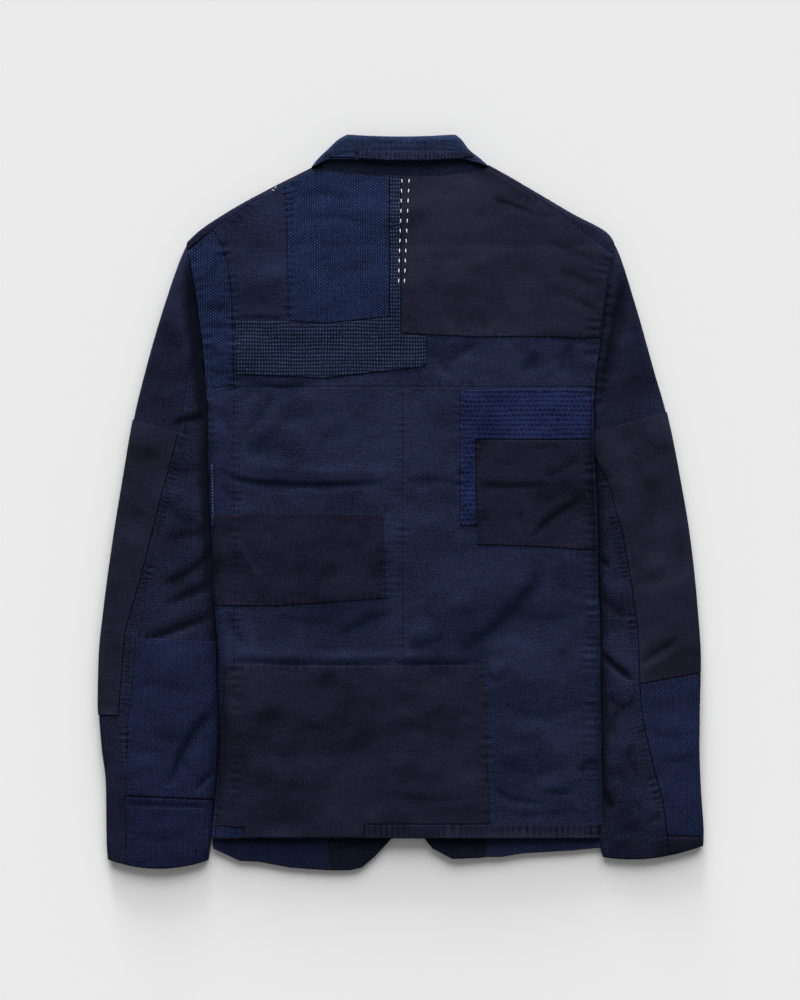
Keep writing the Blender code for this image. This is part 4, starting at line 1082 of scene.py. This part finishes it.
# %% The table of pieces
Piece = namedtuple("Piece", "name tube past dye slot outline low high", defaults=(-CLOTH, 0.0))
ONE_SIDE, LEFT_FOLD, RIGHT_FOLD = (NONE, NONE), (FOLD, NONE), (NONE, FOLD)
ALL_LEFT, ALL_RIGHT, ALL_ROUND = (ALL, NONE), (NONE, ALL), (ALL, ALL)
PANELS = [
    Piece("back_yoke", body, ONE_SIDE, "yoke_navy", "denim",
          NECK_SEAM + LEFT_SHOULDER_SEAM[1:] + LEFT_SIDE_SEAM[1:] + ((203.2, YOKE),)
          + RIGHT_ARMHOLE[2:-1] + RIGHT_SHOULDER_SEAM[:-1]),
    Piece("back_left", body, ONE_SIDE, "back_blue", "denim",
          ((-175, YOKE), (-175, HEM), (CENTRE_BACK, HEM), (CENTRE_BACK, YOKE))),
    Piece("back_right", body, ONE_SIDE, "back_blue", "denim",
          ((CENTRE_BACK, YOKE), (CENTRE_BACK, HEM))
          + edge_of(BODY_ROWS[-2:UNDERARM - 1:-1], "right", -SIDE_BACK)
          + RIGHT_ARMHOLE[:2] + ((203.2, YOKE),)),
    Piece("side_left_upper", body, ONE_SIDE, "shoulder_blue", "sashiko_blue",
          LEFT_SIDE_SEAM[:-1] + SIDE_PANEL_TOP + LEFT_ARMHOLE[2:]),
    Piece("side_left", body, ALL_LEFT, "side_blue", "denim",
          SIDE_PANEL_TOP[::-1] + ((-175, HEM),) + edge_of(sides, "left", -SIDE_FRONT)
          + ((-202 - SIDE_FRONT, 93), (-202, 93), (-203, 106))),
    Piece("shoulder_left", body, ALL_LEFT, "shoulder_dark", "brown_black",
          LEFT_SHOULDER_SEAM + ((-225, 264),) + edge_of(folds[::-1], "left", -FORWARD)
          + ((-91 - FORWARD, 354.6), (-90, 354.6))),
    Piece("shoulder_right", body, ALL_RIGHT, "shoulder_navy", "navy",
          RIGHT_SHOULDER_SEAM + ((93, 354.6), (94 + FORWARD, 354.6))
          + edge_of(folds, "right", FORWARD) + ((224, 264),)),
    Piece("front_left", left_front, ONE_SIDE, "front_sashiko", "sashiko_blue",
          LEFT_ARMHOLE[:-2] + corners("-222.5 258  -224.5 261")
          + edge_of(folds[::-1], "left", FORWARD, 1)
          + ((FRONT_SEAM_LEFT, 345), (FRONT_SEAM_LEFT, -386))
          + corners("-91 -385  -117 -383  -149 -377  -169 -376  -197 -363") + ((-198, HEM - 1),)
          + edge_of(sides, "left", SIDE_FRONT) + ((-202 + SIDE_FRONT, 93), (-202, 93))),
    Piece("front_left_edge", left_front, ONE_SIDE, "dotted_front", "dotted",
          ((FRONT_SEAM_LEFT, 345), (-69, 348), (CENTRE_FRONT + OVERLAP, 150),
           (CENTRE_FRONT + OVERLAP, -296))
          + corners("9 -328  -9 -352  -28 -372  -41 -383  -54 -386") + ((FRONT_SEAM_LEFT, -386),)),
    Piece("front_right", right_front, ALL_RIGHT, "front_sashiko_lit", "sashiko_blue",
          RIGHT_ARMHOLE[:-2] + corners("222.5 258  223.5 261")
          + edge_of(folds[:0:-1], "right", -FORWARD, 1)
          + ((FRONT_SEAM_RIGHT, 337), (FRONT_SEAM_RIGHT, -372))
          + corners("105 -372  129 -368  180 -365  211 -362") + ((211, HEM - 1),)
          + edge_of(sides, "right", SIDE_BACK) + ((202 + SIDE_BACK, 93), (202, 93))),
    Piece("front_right_edge", right_front, ONE_SIDE, "front_navy", "navy",
          ((FRONT_SEAM_RIGHT, 337), (80, 343), (70, 347.5), (CENTRE_FRONT - OVERLAP, 150),
           (CENTRE_FRONT - OVERLAP, -291))
          + corners("9 -328  24 -352  33 -363  54 -374  83 -373") + ((FRONT_SEAM_RIGHT, -372),)),
    Piece("sleeve_left_outer", left_sleeve, ALL_LEFT, "sleeve_navy", "navy",
          LEFT_SLEEVE_SEAM + ((-321, -392),) + left_sleeve.run(0.0, -TURN)[::-1]
          + ((-205, 290),)),
    Piece("sleeve_left_inner", left_sleeve, RIGHT_FOLD, "sleeve_inner", "navy",
          LEFT_SLEEVE_SEAM + ((-188, -390),) + left_sleeve.run(1.0, TURN)[:0:-1] + ((-188, 90),)),
    Piece("sleeve_left_front", left_under, ALL_LEFT, "sleeve_navy", "navy",
          left_under.run(0.0, -TURN) + corners("-321 -392  -406 -394") + left_inner_edge[::-1]
          + corners("-236 428  -216 280")),
    Piece("sleeve_right_outer", right_sleeve, ALL_RIGHT, "sleeve_navy", "denim",
          RIGHT_SLEEVE_SEAM + ((330, -392),) + right_sleeve.run(1.0, TURN)[::-1]
          + corners("205 290  193 205")),
    Piece("sleeve_right_inner", right_sleeve, LEFT_FOLD, "sleeve_inner", "navy",
          RIGHT_SLEEVE_SEAM[2:] + ((199, -390),) + right_sleeve.run(0.0, -TURN)[:4:-1]
          + ((191, 50),)),
    Piece("sleeve_right_front", right_under, ALL_RIGHT, "sleeve_navy", "navy",
          right_under.run(1.0, TURN) + corners("330 -392  411 -394") + right_inner_edge[::-1]
          + corners("236 445  216 280")),
    Piece("collar_stand", stand, ALL_ROUND, "stand_navy", "navy",
          ((-88, 347),) + tuple((x, y - 3.5) for x, y in NECK_SEAM[5:0:-1])
          + corners("87 348  112 354  97 374  84 380  -84 380  -101 374  -115 354")),
    Piece("collar_leaf", leaf, ALL_ROUND, "collar_faded", "collar_blue",
          corners("-93 351  -76 359  -47 359  -14 357  30 357  66 359  91 352.5  100 351  101 290 "
                  "138 312  140 340  106 366  74 386  -72 386  -111 366  -141 340  -139 312 "
                  "-102 290  -101 350"), -COLLAR_LEAF, 0.0),
]
print("panels:", len(PANELS))

# %% [markdown]
# ## The patches, drawn flat
# A patch is a cloth laid on the garment with its edge turned under.  It is cut from the same
# surface as the panel below it and moved out, so it follows every pucker.

# %% The table of patches
left_fold_line = tuple((r.outer_x - WRAP, r.outer_y) for r in LEFT_SLEEVE_ROWS[9:4:-1])
right_fold_line = tuple((r.outer_x + WRAP, r.outer_y) for r in RIGHT_SLEEVE_ROWS[1:])
PATCHES = [Piece(name, tube, past, dye, slot, outline, PATCH_LOW, PATCH_HIGH)
           for name, tube, past, dye, slot, outline in (
    ("patch_blue_shoulder", body, ONE_SIDE, "shoulder_blue", "sashiko_blue",
     corners("-121 332  -117 190  -81 187  -12 194  -12 341  -25 342  -56 344  -88 348  -108 339")),
    ("patch_dotted", body, ONE_SIDE, "dotted_cloth", "dotted",
     corners("-12 194  -12 341  0 341  0 177  27 174  27 143  9 140  -81 130  -173 134  -173 192 "
             "-117 190  -81 187")),
    ("patch_brown_shoulder", body, ONE_SIDE, "brown_black", "brown_black",
     corners("0 341  0 177  84 173  128 174  207.8 172  211.6 200  216 232  220.5 258  193 281 "
             "170 300  126 329  91 350.5  70 345  41 341  8 341")),
    ("patch_blue_rows", body, ONE_SIDE, "row_blue", "row_stitched_blue",
     corners("62 118  62 -24  79.6 -24  78 66  198 66  199 119  131 120")),
    ("patch_brown_right", body, ONE_SIDE, "brown_deep", "brown_black",
     corners("78 66  79.6 -24  80 -44  145 -46  203 -50  201 0  198 66")),
    ("patch_brown_left", body, ONE_SIDE, "brown_deep", "brown_black",
     corners("-196 -14  -159 -11  -19 -12  -16 -100  -130 -108  -193 -108")),
    ("patch_brown_hem", body, ONE_SIDE, "brown_low", "brown_black",
     corners("-183 -169  -103 -171  85 -170  89 -200  92 -337  -38 -337  -38.4 -345")
     + ((-38.4, HEM + 0.6), (-164.4, HEM + 0.6))
     + corners("-164.4 -340  -193 -339  -190 -300  -187 -228")),
    ("hem_band_right", body, ONE_SIDE, "brown_low", "brown_black",
     corners("-38 -337  92 -337  208 -337") + ((208, HEM), (-38, HEM))),
    ("hem_tab_left", body, ONE_SIDE, "cuff_sashiko", "sashiko_blue",
     ((-194, -339), (-165, -340), (-165, HEM), (-194, HEM))),
    ("elbow_left", left_sleeve, LEFT_FOLD, "brown_black", "brown_black",
     LEFT_ELBOW_SEAM[:5] + ((-321, -223),) + left_fold_line + ((-281 - WRAP, 87), (-280, 87))),
    ("sleeve_patch_left", left_sleeve, ONE_SIDE, "sleeve_sashiko", "sashiko_blue",
     corners("-278 -141  -280 -178  -286 -228  -288 -307  -196 -311  -192.6 -252  -192.4 -208 "
             "-194.5 -145")),
    ("cuff_left", left_sleeve, ONE_SIDE, "cuff_sashiko", "sashiko_blue",
     corners("-288 -308  -196.6 -312  -202 -360  -206 -388  -288 -388")),
    ("elbow_right", right_sleeve, RIGHT_FOLD, "brown_black", "brown_black",
     corners("202.7 74.6  222 80  248 86  277 95") + ((278 + WRAP, 94),) + right_fold_line[4:8]
     + ((316 + WRAP, -178),)
     + corners("250 -190  248 -133  242 -89  232 -32  216 24  202.7 50")),
    ("sleeve_patch_right", right_sleeve, RIGHT_FOLD, "sleeve_sashiko", "sashiko_blue",
     ((250, -190), (316 + WRAP, -178)) + right_fold_line[8:11] + ((317 + WRAP, -350),)
     + corners("279 -349  274 -312  265 -279  253 -228")),
    ("cuff_right", right_sleeve, RIGHT_FOLD, "brown_low", "brown_black",
     ((279, -349), (317 + WRAP, -350), (318 + WRAP, -361), (281, -368))),
    ("collar_binding", leaf, ONE_SIDE, "brown_binding", "brown_black",
     corners("-45 368  72 368  76 362  64 360  30 358  -14 358  -45 360")),
    ("collar_strip", leaf, ONE_SIDE, "collar_strip", "sashiko_blue",
     corners("-74 366  -47 367  -47 361  -76 361")),
)]
print("patches:", len(PATCHES))

# %% Cut and place them all
triangles = 0
for piece in PANELS + PATCHES:
    sheet, (size, area) = cut_sheet(piece.tube, piece.past, piece.outline, piece.low, piece.high)
    count = sum(len(face.verts) - 2 for face in sheet.faces)
    triangles += count
    item = add_piece(piece.name + "_cloth", sheet, materials[piece.dye], (piece.name,))
    print(f"{piece.name}: {count} triangles, cut from {size[0]:.3f} by {size[1]:.3f} m")
print("triangles in all:", triangles)

# %% [markdown]
# ## Lapels and buttons underneath
# The lapels are turned back on the fronts and pressed between them and the floor.  They are cut
# from a flat sheet in the same way.  A horn button is a thick disc with four holes, so it
# is filled between its circles, extruded and bevelled.

# %% Lapels
class Ground:
    """A level sheet, for the pieces that lie on the floor."""

    step, side = 4.0, ABOVE

    def cloth(self, past_left, past_right, outline):
        low, high = outline.min(axis=0) - MARGIN, outline.max(axis=0) + MARGIN
        y, x = np.meshgrid(np.arange(high[1], low[1], -self.step),
                           np.arange(low[0], high[0], self.step), indexing="ij")
        level = x * 0.0
        points = np.stack((x, y, level), axis=-1)
        return points[..., :2], points, np.stack((level, level, level + 1.0), axis=-1), level


LAPEL_CORNERS = corners("46 301  108 270  100 246  44 188  2 160")
for name, way in (("lapel_left", -1), ("lapel_right", 1)):
    outline = [(CENTRE_FRONT + way * x, y) for x, y in LAPEL_CORNERS]
    sheet, (size, area) = cut_sheet(Ground(), ONE_SIDE, outline, 0.0, LAPEL)
    item = add_piece(name + "_cloth", sheet, materials["brown_low"], (name,))
print("a lapel has", len(LAPEL_CORNERS), "corners")

# %% Buttons
def horn(tree):
    """Dark polished horn with soft clouded streaks."""
    place = new_node(tree, "TexCoord", output=3)
    stretched = new_node(tree, "Mapping", {"Vector": place, "Scale": (60, 260, 60)})
    clouds = new_node(tree, "TexNoise", {"Vector": stretched, "Scale": 1.0, "Detail": 4.0,
                                         "Distortion": 0.6})
    share = ((clouds - 0.35) * 2.2).clipped()
    return {"Base Color": mixed(share, shown(24, 19, 17), shown(66, 50, 38)),
            "Roughness": 0.26 + share * 0.14}


BUTTON_HEIGHTS = 112.0, 24.0, -64.0
BUTTON_RADIUS, BUTTON_THICKNESS = 10.0, 2.8
HOLE_RADIUS, HOLE_FROM_CENTRE = 1.05, 2.6
ROUNDED_RIM, SHARP = 0.35, 1.2


def make_button(x, y):
    """A disc with four holes and rounded rims."""
    button = bmesh.new()
    circles = [(40, BUTTON_RADIUS, (x, y, 0.0))]
    for angle in np.radians((45, 135, 225, 315)):
        place = x + HOLE_FROM_CENTRE * math.cos(angle), y + HOLE_FROM_CENTRE * math.sin(angle), 0.0
        circles.append((14, HOLE_RADIUS, place))
    for segments, radius, centre in circles:
        bmesh.ops.create_circle(button, segments=segments, radius=radius * MM,
                                matrix=Matrix.Translation(Vector(centre) * MM))
    face_up = button.verts[:]
    bmesh.ops.triangle_fill(button, use_beauty=True, edges=button.edges[:])
    bmesh.ops.extrude_face_region(button, geom=button.faces[:], use_keep_orig=True)
    for vert in face_up:
        vert.co.z = BUTTON_THICKNESS * MM
    bmesh.ops.recalc_face_normals(button, faces=button.faces[:])
    rims = [edge for edge in button.edges if edge.calc_face_angle(0.0) > SHARP]
    bmesh.ops.bevel(button, geom=rims, offset=ROUNDED_RIM * MM, segments=3, profile=0.5,
                    affect="EDGES", material=-1)
    return button


horn_material = new_material("dark_horn", horn)
for number, height in enumerate(BUTTON_HEIGHTS, start=1):
    name = f"button_{number}"
    add_piece(name + "_horn", make_button(CENTRE_FRONT, height), horn_material, (name,),
              smooth=False)
print("buttons:", number)

# %% [markdown]
# ## Stitches
# The thread lies on the cloth, so each stitch is a small flattened bead of its own, placed on the
# surface and turned along its seam.  A bead of twenty faces is enough, because there are hundreds.
# The white running stitches on the shoulder are larger and rounder, and three loose ends of the
# same thread lie on the left shoulder.

# %% Placing stitches on a surface
STEEPEST = 0.35


class Surface:
    """The upper side of a tube, which gives the place and the facing under any point."""

    def __init__(self, tube):
        everywhere = np.array([[-1e4, -1e4], [1e4, 1e4]])
        flat, points, facing, _ = tube.cloth(NONE, NONE, everywhere)
        self.flat = flat.reshape(-1, 2)
        self.points, self.facing = points.reshape(-1, 3), facing.reshape(-1, 3)
        self.tree = KDTree(len(self.flat))
        for number, (x, y) in enumerate(self.flat.tolist()):
            self.tree.insert((x, y, 0.0), number)
        self.tree.balance()

    def at(self, x, y):
        """The place and the facing of the cloth at one point in plan."""
        number = self.tree.find((x, y, 0.0))[1]
        point, facing = Vector(self.points[number]), Vector(self.facing[number])
        off_x, off_y = x - self.flat[number][0], y - self.flat[number][1]
        rise = -(facing.x * off_x + facing.y * off_y) / max(facing.z, STEEPEST)
        return Vector((x, y, point.z + rise)), facing


Stitch = namedtuple("Stitch", "length width height pitch faces", defaults=(1,))
RUNNING = Stitch(4.5, 1.0, 0.8, 10.5, 2)
THREAD_END = Stitch(3.2, 0.6, 0.5, 3.2, 2)
TOPSTITCH = Stitch(2.1, 0.55, 0.4, 3.1)
ROWS_EDGE = TOPSTITCH._replace(pitch=3.4)
WHIP = Stitch(2.2, 0.55, 0.4, 2.9)
BRIGHT = Stitch(3.4, 2.4, 1.0, 3.2)


def sew(threads, surface, x, y, angle, stitch, out):
    """One stitch: a bead stretched along its seam and flattened on the cloth."""
    centre, facing = surface.at(x, y)
    along = Vector((math.cos(angle), math.sin(angle), 0.0))
    along = (along - facing * along.dot(facing)).normalized()
    across = facing.cross(along)
    sizes = Matrix((along * stitch.length, across * stitch.width, facing * stitch.height))
    turned = (sizes.transposed() * (0.5 * MM)).to_4x4()
    place = Matrix.Translation((centre + facing * out) * MM) @ turned
    bmesh.ops.create_icosphere(threads, subdivisions=stitch.faces, radius=1.0, matrix=place)


def sew_along(threads, surface, line, stitch, out, turn=0.0, gaps=0.0):
    """Stitches all along a line, as uneven as hand sewing."""
    for (ax, ay), (bx, by) in zip(line, line[1:]):
        length, angle = math.hypot(bx - ax, by - ay), math.atan2(by - ay, bx - ax)
        for number in range(int(length / stitch.pitch)):
            if chance.random() < gaps:
                continue
            share = (number + 0.5 + chance.uniform(-0.12, 0.12)) * stitch.pitch / length
            x, y = ax + (bx - ax) * share, ay + (by - ay) * share
            sew(threads, surface, x, y, angle + turn + chance.uniform(-0.12, 0.12), stitch, out)


on_body, on_left, on_right = Surface(body), Surface(left_sleeve), Surface(right_sleeve)
print("a point on the back is", round(on_body.at(0.0, 0.0)[0].z, 1), "mm up")

# %% The thread
def thread(tree, colour, deep):
    """Twisted cotton thread."""
    place = new_node(tree, "TexCoord", output=3)
    twist = new_node(tree, "TexNoise", {"Vector": place, "Scale": 900.0, "Detail": 2.0})
    bump = new_node(tree, "Bump", {"Strength": 0.5, "Distance": 0.2 * MM, "Height": twist})
    return {"Base Color": mixed(twist, shown(*deep), shown(*colour)), "Normal": bump,
            "Roughness": 0.8, "Specular IOR Level": 0.2}


threads = [new_material(name, lambda tree: thread(tree, colour, deep)) for name, colour, deep in (
    ("white_cotton_thread", (246, 246, 240), (205, 206, 205)),
    ("indigo_thread", (37, 45, 70), (5, 6, 11)),
    ("dark_indigo_thread", (46, 56, 86), (14, 17, 28)),
    ("light_indigo_thread", (58, 76, 130), (30, 38, 70)))]
print("threads:", len(threads))

# %% Sew
chance = np.random.default_rng(7)
white, ticks, topstitches, bright = (bmesh.new() for _ in range(4))
PATCH, PANEL, RUNNING_STITCHES = PATCH_HIGH, 0.0, 11
for (x, y), foot in (corners("1 339  -2.5 229"), corners("8.5 339  3.5 229")):
    down = Vector(foot) - Vector((x, y))
    for number in range(RUNNING_STITCHES):
        share = (number + 0.25) / (RUNNING_STITCHES - 0.5)
        angle = math.atan2(down.y, down.x) + chance.uniform(-0.14, 0.14)
        sew(white, on_body, x + down.x * share, y + down.y * share, angle, RUNNING, PATCH + 0.2)
for x, y, angle in ((-137.5, 329.5, 0.4), (-134.0, 327.0, -0.7), (-131.5, 330.0, 0.9)):
    sew(white, on_body, x, y, angle, THREAD_END, PANEL + 0.2)
for surface, line in (
        (on_body, "2 177.6  84 173.6  128 174.6  203 172.6"),
        (on_body, "79 65  80.6 -24  81 -43  145 -45  202 -49"),
        (on_body, "-194 -13.4  -159 -12  -20 -13  -17 -99.6  -130 -107.2  -191 -107.2"),
        (on_body, "-182 -170  -103 -172  84 -171  88 -200  91 -334"),
        (on_body, "-36 -338  92 -338  206 -338"),
        (on_left, "-279.6 86  -244 78  -234 74  -253 3  -274 -80  -290 -133  -297 -222 -316 -222"),
        (on_right, "210 76  222 79  248 85  276 94")):
    sew_along(ticks, surface, corners(line), WHIP, PATCH - 0.05, turn=math.pi / 2, gaps=0.12)
for surface, line, on in (
        (on_body, corners("-5 119  -5 -164"), PANEL),
        (on_body, corners("4.6 119  4.6 -164"), PANEL),
        (on_body, corners("-172 118  -172 -350"), PANEL),
        (on_body, corners("-172 124  62 124"), PANEL),
        (on_body, corners("-172 118.4  60 118.4"), PANEL),
        (on_left, beside_line(LEFT_ELBOW_SEAM[1:6], 3.2), PANEL),
        (on_left, beside_line(LEFT_ELBOW_SEAM[1:6], 9.8), PANEL),
        (on_right, beside_line(RIGHT_ELBOW_SEAM[:-1], -3.0), PANEL),
        (on_right, beside_line(RIGHT_ELBOW_SEAM[:-1], 3.0), PATCH),
        (on_left, corners("-307 -313  -204 -314"), PANEL),
        (on_left, corners("-286 -320  -204 -321.5"), PATCH),
        (on_left, corners("-286 -371  -208 -370"), PATCH),
        (on_right, corners("281 -352  314 -353"), PATCH)):
    sew_along(topstitches, surface, line, TOPSTITCH, on + 0.1)
sew_along(bright, on_body, corners("197 117.6  131 118.4  63.2 116.8  63.2 -22.6  78 -22.6"),
          ROWS_EDGE, PATCH + 0.05)
sew_along(bright, on_body, corners("-197.6 40  -196.4 -24"), BRIGHT, PANEL + 0.7)
names = "white_stitches", "patch_ticks", "seam_stitches", "edge_stitches"
for name, beads, material in zip(names, (white, ticks, topstitches, bright), threads):
    print(name, len(beads.faces), "triangles")
    add_piece(name, beads, material)

# %% [markdown]
# ## Floor, light and camera
# The jacket is shown from straight above on a pale floor.  Both lights are beyond the collar, a
# wide soft one and a low one, so every trough has a dark upper side, and the only shadow on the
# floor is a soft one below the hem.  A little light from all round keeps the dark cloth readable.

# %% Floor
floor_sheet = bmesh.new()
bmesh.ops.create_grid(floor_sheet, x_segments=2, y_segments=2, size=6.0)
PALE = 0.722, 0.722, 0.722, 1.0
pale = new_material("pale_floor", lambda tree: {"Base Color": PALE, "Roughness": 0.9,
                                                "Specular IOR Level": 0.1})
floor = add_mesh("floor", floor_sheet, pale)
floor.location.z = -0.5 * MM
print("floor ready")

# %% Light
def add_sun(name, elevation, azimuth, strength, angle):
    """A soft light from one direction, the same all over the floor."""
    light = bpy.data.lights.new(name, "SUN")
    light.energy, light.angle = strength, math.radians(angle)
    up, turn = math.radians(elevation), math.radians(azimuth)
    way = Vector((math.sin(turn) * math.cos(up), math.cos(turn) * math.cos(up), math.sin(up)))
    add_object(name, light).rotation_euler = way.to_track_quat("Z", "Y").to_euler()


add_sun("wide_light_beyond_the_collar", elevation=24, azimuth=4, strength=5.0, angle=70)
add_sun("low_light_beyond_the_collar", elevation=9, azimuth=-6, strength=3.4, angle=14)
world = bpy.data.worlds.new("studio")
world.use_nodes = True
wire(world.node_tree, world.node_tree.nodes["Background"],
     {"Color": (1.0, 1.0, 1.0, 1.0), "Strength": 0.31})
bpy.context.scene.world = world
print("lights ready")

# %% Camera
HEIGHT, VIEW, SENSOR = 6.0, 1.050, 36.0
lens = bpy.data.cameras.new("overhead")
lens.sensor_width, lens.lens = SENSOR, SENSOR * HEIGHT / VIEW
lens.clip_end = 50.0
camera = add_object("overhead", lens)
camera.location = (-1.0 * MM, 2.6 * MM, HEIGHT)
bpy.context.scene.camera = camera
bpy.context.scene.view_settings.view_transform = "Standard"
print("camera", HEIGHT, "m up, lens", round(lens.lens, 1), "mm")
